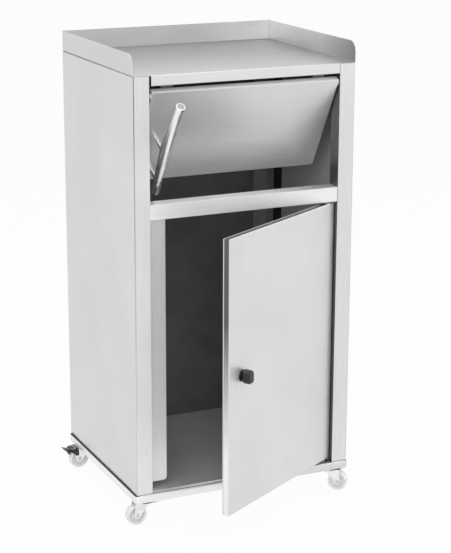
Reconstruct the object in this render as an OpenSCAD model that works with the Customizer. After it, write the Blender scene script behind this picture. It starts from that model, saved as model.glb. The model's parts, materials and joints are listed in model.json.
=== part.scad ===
// Waste bin cabinet: a steel cabinet on four casters, with a throw-in flap above a hinged door.
// Sizes are in millimetres. The cabinet stands on z = 0 and its front faces -Y.

/* [Cabinet body] */
// Width over the side panels
body_w = 570; // [530:1:640]
// Depth from the front face to the back panel
body_d = 465; // [420:1:520]
// Height from the base frame to the worktop surface
body_h = 1010; // [960:1:1060]
// Thickness of the side, back, door and flap sheets
sheet_t = 1; // [0.8:0.1:1.4]
// Side of the square corner posts
post_w = 40; // [36:1:46]
// Wall of the posts and of the mid rail
tube_wall = 1.5; // [1.2:0.1:2]

/* [Worktop] */
// Thickness of the worktop sheet
top_t = 1.2; // [1:0.1:2]
// Height of the upstands above the surface
upstand_h = 50; // [40:1:70]
// Radius of the front corners of the side upstands
upstand_r = 26; // [15:1:35]
// Height of the folded front lip
lip_h = 24; // [18:1:30]
// Depth of the fold under the front lip
lip_return = 12; // [8:1:14]
// Open notch between the left post and the lip
lip_notch = 5; // [2:1:8]

/* [Throw-in opening] */
// Height of the opening between the mid rail and the front lip
throw_h = 274.5; // [250:0.5:300]
// Height of the mid rail
rail_h = 36; // [30:1:42]

/* [Base] */
// Height of the base frame
base_h = 20.5; // [20:0.5:30]
// Width of the base tubes
base_tube_w = 25; // [23:1:30]
// How far the base stands out all round
base_proud = 4; // [2:0.5:6]
// Radius of the upright corners of the base
base_r = 6; // [3:0.5:8]
// Height of the bin floor above the base frame
floor_h = 6.5; // [5:0.5:8]

/* [Door] */
// Width of the door
door_w = 450; // [440:1:452]
// Thickness of the door
door_t = 18.6; // [17:0.1:19]
// Gap under the door
door_gap_low = 9; // [8.5:0.5:11]
// Gap over the door
door_gap_top = 4.5; // [4:0.5:6]
// Gap between the closed door and the hinge post
door_gap_hinge = 3.8; // [3:0.1:5]
// Distance from the hinged edge of the door to the pivot
door_pivot_in = 20; // [18:0.5:24]
// How far the door stands open
door_angle = 30.7; // [0:0.1:90]
// Width of the strip behind the closing edge
strip_w = 45; // [42:1:50]

/* [Latch] */
// Distance from the closing edge to the latch
latch_in = 53; // [48:1:60]
// Height of the latch over the base frame
latch_z = 340; // [250:1:420]
// Length of the cam from the axis of the latch
cam_len = 55; // [53:1:58]
// Height of the latch grip
grip_h = 32; // [26:1:36]

/* [Flap] */
// Depth of the flap pan
flap_t = 15; // [13:0.5:17]
// Gap between the front lip and the closed flap
flap_gap_top = 9; // [8:0.5:12]
// Gap between the closed flap and the mid rail
flap_gap_low = 3.5; // [3.5:0.5:6]
// Gap at each side of the flap
flap_gap_side = 4.5; // [4:0.5:6]
// Distance from the top edge of the flap to its pivot
flap_pivot_down = 14; // [12:0.5:16]
// How far the lower edge of the flap is pushed in
flap_angle = 29.5; // [0:0.5:40]

/* [Handle] */
// Diameter of the handle tube
handle_d = 21; // [18:0.5:22]
// Distance of the handle from the left side of the cabinet
handle_x = 85; // [75:1:130]
// Height of the handle over the top edge of the flap
handle_over = 15; // [5:1:20]
// Depth of the bend under the top edge of the flap
handle_bend_down = 130; // [110:1:150]
// Height of the lower end over the lower edge of the flap
handle_end_up = 10; // [5:1:20]
// Distance of the upper end from the flap
handle_out_top = 72; // [65:1:80]
// Distance of the bend from the flap
handle_out_bend = 48; // [45:1:55]
// Distance of the lower end from the flap
handle_out_low = 56; // [50:1:57]
// Diameter of the two stays of the handle
stay_d = 10; // [9:0.5:12]
// Depth of the upper stay under the top edge of the flap
stay_down = 140; // [135:1:160]
// Height of the lower stay over the lower edge of the flap
stay_up = 37; // [25:1:50]

/* [Casters] */
// Diameter of the wheels
wheel_d = 50; // [46:1:52]
// Width of the tread
wheel_w = 19; // [17:1:20]
// Height of a caster with its plate
caster_h = 63.5; // [62:0.5:70]
// Distance from the swivel axis to the axle
trail = 22; // [20:0.5:24]
// Side of the square caster plate
plate_w = 60; // [58:1:62]

/* [Hidden] */
$fn = 64;

// Fits: a turning pin, a bolt in its clearance hole, and the gap between parts that turn on each other
run_fit = 0.05;
bolt_fit = 0.2;
turn_gap = 0.3;
// Extra length of a cut, so that it passes through
cut = 1;

// Levels over the base frame
sheet_top = body_h - top_t;
panel_gap = 1.5;
floor_gap = 0.5;
lip_low = body_h - lip_h;
rail_top = lip_low - throw_h;
rail_z = rail_top - rail_h;
door_z = door_gap_low;
door_h = rail_z - door_gap_low - door_gap_top;
flap_top = lip_low - flap_gap_top;
flap_low = rail_top + flap_gap_low;
flap_h = flap_top - flap_low;
flap_pivot_z = flap_top - flap_pivot_down;
flap_pivot_y = flap_t / 2;

// Inner faces of the front posts
post_in = sheet_t + post_w;
opening_w = body_w - 2 * post_in;

// Door: its pivot, and its parts measured from the pivot
door_pivot_x = body_w - post_in - door_gap_hinge - door_pivot_in;
door_pivot_y = door_t / 2;
door_arm = door_w - door_pivot_in;
hinge_pin_r = 4;
hinge_pin_l = 15;
hinge_plate_w = 40;
hinge_plate_d = 24;
upper_plate_t = 2;
lower_plate_t = 3;
bush_r = 6;
bush_flange_r = 8;
bush_flange_t = 1.5;

// Strip behind the closing edge of the door
strip_t = 1.5;
strip_behind = 1.9;
strip_y = door_t + strip_behind;
strip_z = 22;
strip_r = 8;
strip_flange = 20;
strip_gap_top = 1;

// Latch, measured along the normal of the door from its middle
rosette_r = 14.5;
rosette_t = 2.5;
barrel_r = 9.5;
barrel_out = 4.4;
latch_nut_r = 14;
latch_nut_t = 3.5;
grip_w = 16;
grip_d = 20;
grip_neck = 4;
grip_neck_r = 7.5;
grip_chamfer = 3.5;
shaft_r = 5;
shaft_square = 7;
cam_w = 18;
cam_t = 2.5;
cam_y = door_t / 2 + barrel_out + turn_gap;
cam_screw_r = 2.5;
cam_screw_l = 10;
screw_head_r = 4.5;
screw_head_t = 3;

// Flap, measured from its pivot
flap_x = post_in + flap_gap_side;
flap_w = body_w - 2 * flap_x;
flap_below = flap_h - flap_pivot_down;
flap_pin_r = 3;
flap_pin_head_r = 5;
flap_pin_head_t = 3;
flap_pin_l = 16;
flap_bush_r = 5;
flap_bush_l = 7;
flap_bush_flange_r = 6.5;
flap_bush_flange_t = 1.5;
stop_w = 30;
stop_t = 1.5;
stop_leg = 20;
stop_over_pivot = 8.5;
stop_z = flap_pivot_z + stop_over_pivot;

// Handle: out is the distance from the flap, up is measured from the pivot
handle_wall = 1.5;
handle_low = [handle_out_low, handle_end_up - flap_below];
handle_bend = [handle_out_bend, flap_pivot_down - handle_bend_down];
handle_top = [handle_out_top, flap_pivot_down + handle_over];
lower_leg = handle_bend - handle_low;
upper_leg = handle_top - handle_bend;
lower_tilt = atan2(lower_leg[0], lower_leg[1]);
upper_tilt = atan2(upper_leg[0], upper_leg[1]);
handle_bend_r = 120;
handle_bend_steps = 8;
handle_sides = 32;
bend_run = handle_bend_r * tan((upper_tilt - lower_tilt) / 2);
bend_start = handle_bend - bend_run * lower_leg / norm(lower_leg);
bend_centre = bend_start + handle_bend_r * [cos(lower_tilt), -sin(lower_tilt)];
bend_tilts = [for (k = [0:handle_bend_steps])
    lower_tilt + (upper_tilt - lower_tilt) * k / handle_bend_steps];
// Where the tube passes, from its lower end to its upper end, and how far it leans out there
handle_path = concat([handle_low],
    [for (a = bend_tilts) bend_centre - handle_bend_r * [cos(a), -sin(a)]], [handle_top]);
handle_tilts = concat([lower_tilt], bend_tilts, [upper_tilt]);
stay_heights = [flap_pivot_down - stay_down, stay_up - flap_below];
stay_screw_r = 3;
stay_screw_l = 14;
plug_l = 8;
plug_fit = 0.05;
// The bore has flat sides, so the plug fits the circle inside them
plug_r = (handle_d / 2 - handle_wall) * cos(180 / handle_sides) - plug_fit;

// Casters, measured from the swivel axis and down from the base frame
caster_in = plate_w / 2;
plate_t = 2.5;
plate_r = 5;
race_r = 19;
race_h = 3;
crown_r = 21;
crown_t = 2.2;
crown_z = -plate_t - race_h - turn_gap - crown_t;
king_r = 4;
king_head_r = 7;
king_head_t = 3;
axle_z = -caster_h + wheel_d / 2;
axle_r = 3;
axle_head_r = 5;
axle_head_t = 3;
leg_gap = 2;
leg_in = wheel_w / 2 + leg_gap;
leg_t = 2;
leg_end_r = 8.5;
leg_blend = 0.3;
leg_top_z = crown_z + crown_t / 2;
leg_ear_h = 3;
leg_back = 15;
leg_front = 27;
tread_t = 5.5;
tread_r = 2.5;
rim_step = 1;
rim_w = wheel_w - 2 * rim_step;
rim_t = 3;
web_w = 9;
boss_r = 7;
boss_w = 2 * (leg_in - turn_gap);
bolt_edge = 7.5;
bolt_in = plate_w / 2 - bolt_edge;
bolt_r = 3;
bolt_head_r = 5;
bolt_head_t = 4;
bolt_l = 8;
gusset_t = 3;
gusset_edge = 2;
gusset_w = plate_w + gusset_edge;

// Brake pedal: its pin, then its plate as [forward, up] from the pin and its claw round the tread
pedal_x = 36;
pedal_down = 3.5;
pedal_z = crown_z - pedal_down;
pedal_pin_r = 2;
pedal_barrel_r = 4;
pedal_ear = 5;
pedal_w = 18;
pedal_t = 2.8;
pedal_reach = 33;
pedal_rise = 9.7;
pedal_hole_r = 2;
pedal_hole_in = 9;
pedal_tip_x = pedal_x + pedal_reach;
claw_gap = 4;
claw_t = 3.2;
claw_angle = 35.6;

// Each caster: left or right, front or rear, where it points and whether it has a brake
FRONT_LEFT = 0;
FRONT_RIGHT = 1;
REAR_LEFT = 2;
REAR_RIGHT = 3;
caster_xy = [[caster_in, caster_in], [body_w - caster_in, caster_in],
    [caster_in, body_d - caster_in], [body_w - caster_in, body_d - caster_in]];
caster_turn = [180, -37, 180, 180];
caster_braked = [false, false, true, true];

// The origin lies on the ground, under the middle of all that the cabinet covers
wheel_reach = trail + wheel_d / 2;
reach_left = caster_in - pedal_tip_x;
reach_right = body_w - caster_in + wheel_reach * cos(caster_turn[FRONT_RIGHT])
    - wheel_w / 2 * sin(caster_turn[FRONT_RIGHT]);
reach_front = door_pivot_y - door_arm * sin(door_angle) - door_t / 2 * cos(door_angle);
reach_rear = body_d + base_proud;
centre_x = (reach_left + reach_right) / 2;
centre_y = (reach_front + reach_rear) / 2;
ground = base_h + caster_h;

steel = "#c9cbcc";
inner_steel = "#b4b6b8";
polished = "#dcdedf";
zinc = "#b9bcc0";
black = "#1c1c1e";
nylon = "#e8e8e4";
wheel_white = "#dfe0dc";

// Places a shape drawn from the front left corner of the body, at the top of the base frame
module in_cabinet() {
    translate([-centre_x, -centre_y, ground]) children();
}

// Places a shape drawn from the pivot of the door
module on_door() {
    in_cabinet() translate([door_pivot_x, door_pivot_y, 0]) rotate([0, 0, door_angle]) children();
}

// Places a shape drawn from the axis of the latch
module on_latch() {
    on_door() translate([latch_in - door_arm, 0, latch_z]) children();
}

// Places a shape drawn from the pivot of the flap
module on_flap() {
    in_cabinet() translate([0, flap_pivot_y, flap_pivot_z]) rotate([flap_angle, 0, 0]) children();
}

// Places a shape drawn from the top of a caster plate
module at_caster(k) {
    in_cabinet() translate([caster_xy[k][0], caster_xy[k][1], -base_h]) children();
}

// Draws a left side piece again on the right
module right_side() {
    translate([body_w, 0, 0]) mirror([1, 0, 0]) children();
}

// Cylinder along Y, from y0 to y1
module along_y(y0, y1, r, sides = 64) {
    translate([0, y0, 0]) rotate([-90, 0, 0]) cylinder(h = y1 - y0, r = r, $fn = sides);
}

// Cylinder along X, from x0 to x1
module along_x(x0, x1, r) {
    translate([x0, 0, 0]) rotate([0, 90, 0]) cylinder(h = x1 - x0, r = r);
}

// Flat shape drawn as x and z, made t thick towards the back
module upright(t) {
    translate([0, t, 0]) rotate([90, 0, 0]) linear_extrude(t) children();
}

// Flat shape drawn as y and z, made t thick towards the right
module sideways(t) {
    rotate([90, 0, 90]) linear_extrude(t) children();
}

// Rectangle with four round corners
module round_rect(w, d, r) {
    for (x = [r, w - r], y = [r, d - r]) translate([x, y]) circle(r);
    translate([r, 0]) square([w - 2 * r, d]);
    translate([0, r]) square([w, d - 2 * r]);
}

// Front post with the hole for the pivot pin of the flap
module left_post() {
    difference() {
        translate([sheet_t, 0, 0]) cube([post_w, post_w, sheet_top]);
        translate([sheet_t + tube_wall, tube_wall, -cut])
            cube([post_w - 2 * tube_wall, post_w - 2 * tube_wall, sheet_top + 2 * cut]);
        translate([0, flap_pivot_y, flap_pivot_z])
            along_x(post_in - tube_wall - cut, post_in + cut, flap_pin_r + run_fit);
    }
}

module front_left_post() {
    color(steel) in_cabinet() left_post();
}

module front_right_post() {
    color(steel) in_cabinet() right_side() left_post();
}

// Rear corner angle, inside the side and back panels
module rear_angle() {
    translate([sheet_t, body_d - sheet_t - tube_wall, 0]) cube([post_w, tube_wall, sheet_top]);
    translate([sheet_t, body_d - sheet_t - post_w, 0]) cube([tube_wall, post_w, sheet_top]);
}

module rear_left_post() {
    color(steel) in_cabinet() rear_angle();
}

module rear_right_post() {
    color(steel) in_cabinet() right_side() rear_angle();
}

module side_panel() {
    translate([0, 0, panel_gap]) cube([sheet_t, body_d, sheet_top - panel_gap]);
}

module left_side_panel() {
    color(steel) in_cabinet() side_panel();
}

module right_side_panel() {
    color(steel) in_cabinet() right_side() side_panel();
}

module back_panel() {
    color(steel) in_cabinet() translate([sheet_t, body_d - sheet_t, panel_gap])
        cube([body_w - 2 * sheet_t, sheet_t, sheet_top - panel_gap]);
}

// Side upstand, with its front corner rounded
module side_upstand() {
    h = upstand_h + top_t;
    translate([0, 0, sheet_top]) sideways(top_t) {
        translate([upstand_r, 0]) square([body_d - upstand_r, h]);
        square([body_d, h - upstand_r]);
        translate([upstand_r, h - upstand_r]) circle(upstand_r);
    }
}

module worktop() {
    lip_x = post_in + lip_notch;
    lip_w = body_w - post_in - turn_gap - lip_x;
    color(steel) in_cabinet() {
        translate([0, 0, sheet_top]) cube([body_w, body_d, top_t]);
        side_upstand();
        right_side() side_upstand();
        translate([0, body_d - top_t, sheet_top]) cube([body_w, top_t, upstand_h + top_t]);
        translate([lip_x, 0, lip_low]) cube([lip_w, top_t, lip_h]);
        translate([lip_x, 0, lip_low]) cube([lip_w, lip_return, top_t]);
    }
}

module mid_rail() {
    color(steel) in_cabinet() translate([post_in, 0, rail_z]) difference() {
        cube([opening_w, post_w, rail_h]);
        translate([-cut, tube_wall, tube_wall])
            cube([opening_w + 2 * cut, post_w - 2 * tube_wall, rail_h - 2 * tube_wall]);
    }
}

// Corner k of the base frame, inset from its outer edge: front left, front right, rear right, rear left
function base_corner(k, inset) = [
    (k == 0 || k == 3) ? inset - base_proud : body_w + base_proud - inset,
    (k < 2) ? inset - base_proud : body_d + base_proud - inset];

// Tube of the base frame from corner k to the next one, mitred at both ends
module base_tube(k) {
    next = (k + 1) % 4;
    far_wall = base_tube_w - tube_wall;
    bore_x = (k == 1) ? base_corner(1, far_wall)[0] : base_corner(0, tube_wall)[0];
    bore_y = (k == 2) ? base_corner(3, far_wall)[1] : base_corner(0, tube_wall)[1];
    bore_w = base_tube_w - 2 * tube_wall;
    bore = (k % 2 == 0)
        ? [body_w + 2 * (base_proud - tube_wall), bore_w]
        : [bore_w, body_d + 2 * (base_proud - tube_wall)];
    translate([0, 0, -base_h]) difference() {
        linear_extrude(base_h) intersection() {
            polygon([base_corner(k, 0), base_corner(next, 0),
                base_corner(next, base_tube_w), base_corner(k, base_tube_w)]);
            translate([-base_proud, -base_proud])
                round_rect(body_w + 2 * base_proud, body_d + 2 * base_proud, base_r);
        }
        translate([bore_x, bore_y, tube_wall]) cube([bore[0], bore[1], base_h - 2 * tube_wall]);
        bolt_holes(bolt_r + run_fit, tube_wall);
    }
}

// Holes for all the caster bolts, through a sheet t thick at the foot of the base frame
module bolt_holes(r, t) {
    for (k = [0:3], x = [-bolt_in, bolt_in], y = [-bolt_in, bolt_in])
        translate([caster_xy[k][0] + x, caster_xy[k][1] + y, -cut]) cylinder(h = t + 2 * cut, r = r);
}

module base_front_tube() {
    color(steel) in_cabinet() base_tube(0);
}

module base_right_tube() {
    color(steel) in_cabinet() base_tube(1);
}

module base_rear_tube() {
    color(steel) in_cabinet() base_tube(2);
}

module base_left_tube() {
    color(steel) in_cabinet() base_tube(3);
}

// Four plates welded inside the corners of the base frame, for the inner caster bolts
module base_gussets() {
    low = base_tube_w - base_proud;
    side = gusset_w - low;
    color(inner_steel) in_cabinet() translate([0, 0, -base_h]) difference() {
        for (x = [low, body_w - gusset_w], y = [low, body_d - gusset_w])
            translate([x, y, 0]) cube([side, side, gusset_t]);
        bolt_holes(bolt_r + run_fit, gusset_t);
    }
}

// Outline of the bin floor, made smaller by inset at every edge. Its notch leaves the hinge bracket
// and the swing of the hinged edge of the door free.
module floor_outline(inset) {
    gap = floor_gap + inset;
    corner = post_in + gap;
    notch_w = post_in + door_gap_hinge + door_pivot_in + hinge_plate_w / 2 + gap;
    notch_d = max(hinge_plate_d, door_pivot_y + norm([door_pivot_in, door_t / 2])) + gap;
    difference() {
        translate([sheet_t + gap, gap])
            square([body_w - 2 * (sheet_t + gap), body_d - sheet_t - 2 * gap]);
        for (x = [0, body_w - corner], y = [0, body_d - corner]) translate([x, y]) square(corner);
        translate([body_w - notch_w, 0]) square([notch_w, notch_d]);
    }
}

module bin_floor() {
    color(inner_steel) in_cabinet() difference() {
        linear_extrude(floor_h) floor_outline(0);
        translate([0, 0, -cut]) linear_extrude(floor_h - top_t + cut) floor_outline(top_t);
    }
}

module latch_strip() {
    h = rail_z - strip_gap_top - strip_z;
    color(inner_steel) in_cabinet() translate([post_in, strip_y, strip_z]) {
        upright(strip_t) {
            translate([0, strip_r]) square([strip_w, h - strip_r]);
            square([strip_w - strip_r, h]);
            translate([strip_w - strip_r, strip_r]) circle(strip_r);
        }
        cube([strip_t, strip_flange, h]);
    }
}

module hinge_plate(t) {
    translate([-hinge_plate_w / 2, -door_pivot_y, 0]) cube([hinge_plate_w, hinge_plate_d, t]);
}

module upper_hinge_bracket() {
    pin_low = door_z + door_h - hinge_pin_l;
    color(zinc) in_cabinet() translate([door_pivot_x, door_pivot_y, 0]) {
        translate([0, 0, rail_z - upper_plate_t]) hinge_plate(upper_plate_t);
        translate([0, 0, pin_low]) cylinder(h = rail_z - pin_low - upper_plate_t / 2, r = hinge_pin_r);
    }
}

// The collar under the lower bush carries the door
module lower_hinge_bracket() {
    color(zinc) in_cabinet() translate([door_pivot_x, door_pivot_y, 0]) {
        hinge_plate(lower_plate_t);
        cylinder(h = door_z - bush_flange_t - turn_gap, r = bush_flange_r);
        cylinder(h = door_z + hinge_pin_l, r = hinge_pin_r);
    }
}

// Two shoulder pins through the inner walls of the front posts
module flap_pin() {
    head_x = post_in - tube_wall;
    translate([0, flap_pivot_y, flap_pivot_z]) {
        along_x(head_x - flap_pin_head_t, head_x, flap_pin_head_r);
        along_x(head_x - flap_pin_head_t / 2, head_x + flap_pin_l, flap_pin_r);
    }
}

module flap_pivot_pins() {
    color(polished) in_cabinet() {
        flap_pin();
        right_side() flap_pin();
    }
}

// Angle under the worktop that the top of the flap meets when it is closed
module flap_stop() {
    translate([flap_x + stop_w, flap_t + turn_gap, 0]) {
        translate([0, 0, stop_z]) cube([stop_w, stop_t, sheet_top - stop_z]);
        translate([0, 0, sheet_top - stop_t]) cube([stop_w, stop_leg, stop_t]);
    }
}

module flap_stops() {
    color(inner_steel) in_cabinet() {
        flap_stop();
        right_side() flap_stop();
    }
}

module door_outer_skin() {
    color(steel) on_door() difference() {
        translate([-door_arm, -door_t / 2, door_z]) cube([door_w, door_t - sheet_t, door_h]);
        translate([sheet_t - door_arm, sheet_t - door_t / 2, door_z + sheet_t])
            cube([door_w - 2 * sheet_t, door_t, door_h - 2 * sheet_t]);
        translate([latch_in - door_arm, 0, latch_z])
            along_y(-door_t, 0, barrel_r + bolt_fit);
        translate([0, 0, door_z - cut]) cylinder(h = door_h + 2 * cut, r = bush_r + run_fit);
    }
}

module door_inner_skin() {
    color(inner_steel) on_door() difference() {
        translate([-door_arm, door_t / 2 - sheet_t, door_z]) cube([door_w, sheet_t, door_h]);
        translate([latch_in - door_arm, 0, latch_z]) along_y(0, door_t, barrel_r + bolt_fit);
    }
}

// Flanged bush standing on its flange
module door_bush() {
    difference() {
        union() {
            cylinder(h = bush_flange_t, r = bush_flange_r);
            cylinder(h = bush_flange_t + hinge_pin_l, r = bush_r);
        }
        translate([0, 0, -cut]) cylinder(h = bush_flange_t + hinge_pin_l + 2 * cut, r = hinge_pin_r + run_fit);
    }
}

module door_upper_bush() {
    color(nylon) on_door() translate([0, 0, door_z + door_h + bush_flange_t]) mirror([0, 0, 1]) door_bush();
}

module door_lower_bush() {
    color(nylon) on_door() translate([0, 0, door_z - bush_flange_t]) door_bush();
}

module latch_body() {
    front = -door_t / 2;
    color(black) on_latch() difference() {
        union() {
            along_y(front - rosette_t, front, rosette_r);
            along_y(front - rosette_t / 2, door_t / 2 + barrel_out, barrel_r);
        }
        along_y(front - rosette_t - cut, door_t / 2 + barrel_out + cut, shaft_r + run_fit);
    }
}

module latch_nut() {
    back = door_t / 2;
    color(zinc) on_latch() difference() {
        along_y(back, back + latch_nut_t, latch_nut_r, 6);
        along_y(back - cut, back + latch_nut_t + cut, barrel_r + run_fit);
    }
}

// Wing grip with its shaft, which ends in a square for the cam
module latch_grip() {
    neck_y = -door_t / 2 - rosette_t - turn_gap;
    grip_y = neck_y - grip_neck;
    c = grip_chamfer;
    w = grip_w / 2;
    h = grip_h / 2;
    color(black) on_latch() difference() {
        union() {
            intersection() {
                translate([0, grip_y - grip_d, 0]) upright(grip_d)
                    polygon([[c - w, -h], [w - c, -h], [w, 2 * c - h], [w, h - 2 * c],
                        [w - c, h], [c - w, h], [-w, h - 2 * c], [-w, 2 * c - h]]);
                translate([-w, grip_y, 0]) sideways(grip_w)
                    polygon([[0, -h], [c - grip_d, -h], [-grip_d, c - h],
                        [-grip_d, h - c], [c - grip_d, h], [0, h]]);
            }
            along_y(grip_y - cut, neck_y, grip_neck_r);
            along_y(grip_y, cam_y, shaft_r);
            translate([-shaft_square / 2, cam_y - cut, -shaft_square / 2])
                cube([shaft_square, cut + cam_t - turn_gap, shaft_square]);
        }
        along_y(cam_y - cam_screw_l, cam_y + cam_t + cut, cam_screw_r);
    }
}

// Cam plate, which hangs behind the door and stands upright when the latch is open
module latch_cam() {
    side = shaft_square + 2 * run_fit;
    color(zinc) on_latch() translate([0, cam_y, 0]) difference() {
        upright(cam_t) {
            circle(cam_w / 2);
            translate([-cam_w / 2, 0]) square([cam_w, cam_len]);
        }
        translate([-side / 2, -cut, -side / 2]) cube([side, cam_t + 2 * cut, side]);
    }
}

module latch_cam_screw() {
    head_y = cam_y + cam_t;
    color(zinc) on_latch() {
        along_y(head_y, head_y + screw_head_t, screw_head_r);
        along_y(head_y - cam_screw_l, head_y + screw_head_t / 2, cam_screw_r - run_fit);
    }
}

module flap_panel() {
    front = -flap_t / 2;
    color(steel) on_flap() difference() {
        translate([flap_x, front, -flap_below]) cube([flap_w, flap_t, flap_h]);
        translate([flap_x + sheet_t, front + sheet_t, sheet_t - flap_below])
            cube([flap_w - 2 * sheet_t, flap_t, flap_h - 2 * sheet_t]);
        along_x(flap_x - cut, flap_x + flap_w + cut, flap_bush_r + run_fit);
        for (z = stay_heights) translate([handle_x, 0, z]) along_y(front - cut, 0, stay_screw_r + run_fit);
    }
}

module flap_bush() {
    difference() {
        union() {
            along_x(flap_x - flap_bush_flange_t, flap_x, flap_bush_flange_r);
            along_x(flap_x - flap_bush_flange_t / 2, flap_x + flap_bush_l, flap_bush_r);
        }
        along_x(flap_x - flap_bush_flange_t - cut, flap_x + flap_bush_l + cut, flap_pin_r + run_fit);
    }
}

module flap_bushes() {
    color(nylon) on_flap() {
        flap_bush();
        right_side() flap_bush();
    }
}

// Straight leg of the handle with the radius r, from point low to point high, longer by extra at both ends
module handle_leg(r, low, high, extra) {
    leg = high - low;
    translate([handle_x, -flap_t / 2 - low[0], low[1]]) rotate([atan2(leg[0], leg[1]), 0, 0])
        translate([0, 0, -extra]) cylinder(h = norm(leg) + 2 * extra, r = r);
}

// Ring of points with the radius r, square to the handle's path at its point k
function handle_ring(k, r) = [for (s = [0:handle_sides - 1])
    let (side = r * cos(360 * s / handle_sides), out = r * sin(360 * s / handle_sides))
        [handle_x + side,
        -flap_t / 2 - handle_path[k][0] - out * cos(handle_tilts[k]),
        handle_path[k][1] - out * sin(handle_tilts[k])]];

// Two triangles for each side of the strip between the rings whose points start at a and at b
function strip(a, b) = [for (s = [0:handle_sides - 1]) let (t = (s + 1) % handle_sides)
    each [[a + s, a + t, b + t], [a + s, b + t, b + s]]];

// Bent tube, swept along its path: its outside, its bore and its two ends
module flap_handle() {
    last = len(handle_path) - 1;
    bore = (last + 1) * handle_sides;
    points = [for (r = [handle_d / 2, handle_d / 2 - handle_wall], k = [0:last]) each handle_ring(k, r)];
    outside = [for (k = [0:last - 1]) each strip(k * handle_sides, (k + 1) * handle_sides)];
    inside = [for (k = [0:last - 1]) each strip(bore + (k + 1) * handle_sides, bore + k * handle_sides)];
    ends = concat(strip(bore, 0), strip(last * handle_sides, bore + last * handle_sides));
    color(polished) on_flap() polyhedron(points, concat(outside, inside, ends));
}

module handle_stays() {
    front = -flap_t / 2;
    color(polished) on_flap() difference() {
        for (z = stay_heights) translate([handle_x, 0, z])
            along_y(front - handle_out_low, front, stay_d / 2);
        handle_leg(handle_d / 2, handle_low, handle_bend, handle_d);
        for (z = stay_heights) translate([handle_x, 0, z])
            along_y(front - stay_screw_l, front + cut, stay_screw_r);
    }
}

// Plugs inside the two ends of the handle tube, flush with its rims
module handle_end_plugs() {
    color(nylon) on_flap() {
        translate([handle_x, -flap_t / 2 - handle_low[0], handle_low[1]])
            rotate([lower_tilt, 0, 0]) cylinder(h = plug_l, r = plug_r);
        translate([handle_x, -flap_t / 2 - handle_top[0], handle_top[1]])
            rotate([upper_tilt, 0, 0]) translate([0, 0, -plug_l]) cylinder(h = plug_l, r = plug_r);
    }
}

module handle_screws() {
    sheet_y = sheet_t - flap_t / 2;
    color(zinc) on_flap() for (z = stay_heights) translate([handle_x, 0, z]) {
        along_y(sheet_y, sheet_y + screw_head_t, screw_head_r);
        along_y(sheet_y - stay_screw_l, sheet_y + screw_head_t / 2, stay_screw_r - run_fit);
    }
}

module caster_bolts() {
    color(zinc) for (k = [0:3], x = [-bolt_in, bolt_in], y = [-bolt_in, bolt_in])
        at_caster(k) translate([x, y, -plate_t]) {
            translate([0, 0, -bolt_head_t]) cylinder(h = bolt_head_t, r = bolt_head_r, $fn = 6);
            translate([0, 0, -bolt_head_t / 2]) cylinder(h = bolt_head_t / 2 + bolt_l, r = bolt_r);
        }
}

// Square plate with its ball race and the king pin that holds the fork
module caster_plate(k) {
    head_z = crown_z - turn_gap - king_head_t;
    color(zinc) at_caster(k) difference() {
        union() {
            translate([-plate_w / 2, -plate_w / 2, -plate_t]) linear_extrude(plate_t)
                round_rect(plate_w, plate_w, plate_r);
            translate([0, 0, -plate_t - race_h]) cylinder(h = race_h, r = race_r);
            translate([0, 0, head_z]) cylinder(h = -plate_t - head_z, r = king_r);
            translate([0, 0, head_z]) cylinder(h = king_head_t, r = king_head_r);
        }
        for (x = [-bolt_in, bolt_in], y = [-bolt_in, bolt_in])
            translate([x, y, -plate_t - cut]) cylinder(h = plate_t + 2 * cut, r = bolt_r + bolt_fit);
    }
}

// Point where a line from p touches the circle of radius r round c, on the side given by side
function touch_point(p, c, r, side) =
    let (d = p - c, a = atan2(d[1], d[0]) + side * acos(r / norm(d))) c + r * [cos(a), sin(a)];

// Side view of one leg of a fork
module leg_outline(braked) {
    axle = [trail, axle_z];
    front = braked ? pedal_x + pedal_ear : leg_front;
    ear = braked ? pedal_z - pedal_barrel_r : leg_top_z - leg_ear_h;
    difference() {
        union() {
            polygon([[-leg_back, leg_top_z], [front, leg_top_z], [front, ear],
                touch_point([front, ear], axle, leg_end_r - leg_blend, -1), axle,
                touch_point([-leg_back, leg_top_z], axle, leg_end_r - leg_blend, 1)]);
            translate(axle) circle(leg_end_r);
        }
        translate(axle) circle(axle_r + run_fit);
        if (braked) translate([pedal_x, pedal_z]) circle(pedal_pin_r + run_fit);
    }
}

module caster_fork(k) {
    color(zinc) at_caster(k) rotate([0, 0, caster_turn[k]]) {
        difference() {
            translate([0, 0, crown_z]) cylinder(h = crown_t, r = crown_r);
            translate([0, 0, crown_z - cut]) cylinder(h = crown_t + 2 * cut, r = king_r + run_fit);
        }
        for (y = [leg_in, -leg_in - leg_t]) translate([0, y, 0]) upright(leg_t) leg_outline(caster_braked[k]);
    }
}

// Places a shape drawn round the axle of a caster
module at_axle(k) {
    at_caster(k) rotate([0, 0, caster_turn[k]]) translate([trail, 0, axle_z]) children();
}

// Axle bolt with its head and nut outside the legs
module caster_axle(k) {
    out = leg_in + leg_t;
    color(zinc) at_axle(k) {
        along_y(-out - axle_head_t, -out, axle_head_r, 6);
        along_y(-out - axle_head_t / 2, out + axle_head_t / 2, axle_r);
        along_y(out, out + axle_head_t, axle_head_r, 6);
    }
}

module wheel_tread(k) {
    r = wheel_d / 2;
    flat = wheel_w / 2 - tread_r;
    color(wheel_white) at_axle(k) rotate([90, 0, 0]) rotate_extrude() {
        translate([r - tread_t, -wheel_w / 2]) square([tread_t - tread_r, wheel_w]);
        translate([r - tread_t, -flat]) square([tread_t, 2 * flat]);
        for (y = [-flat, flat]) translate([r - tread_r, y]) circle(tread_r);
    }
}

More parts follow.
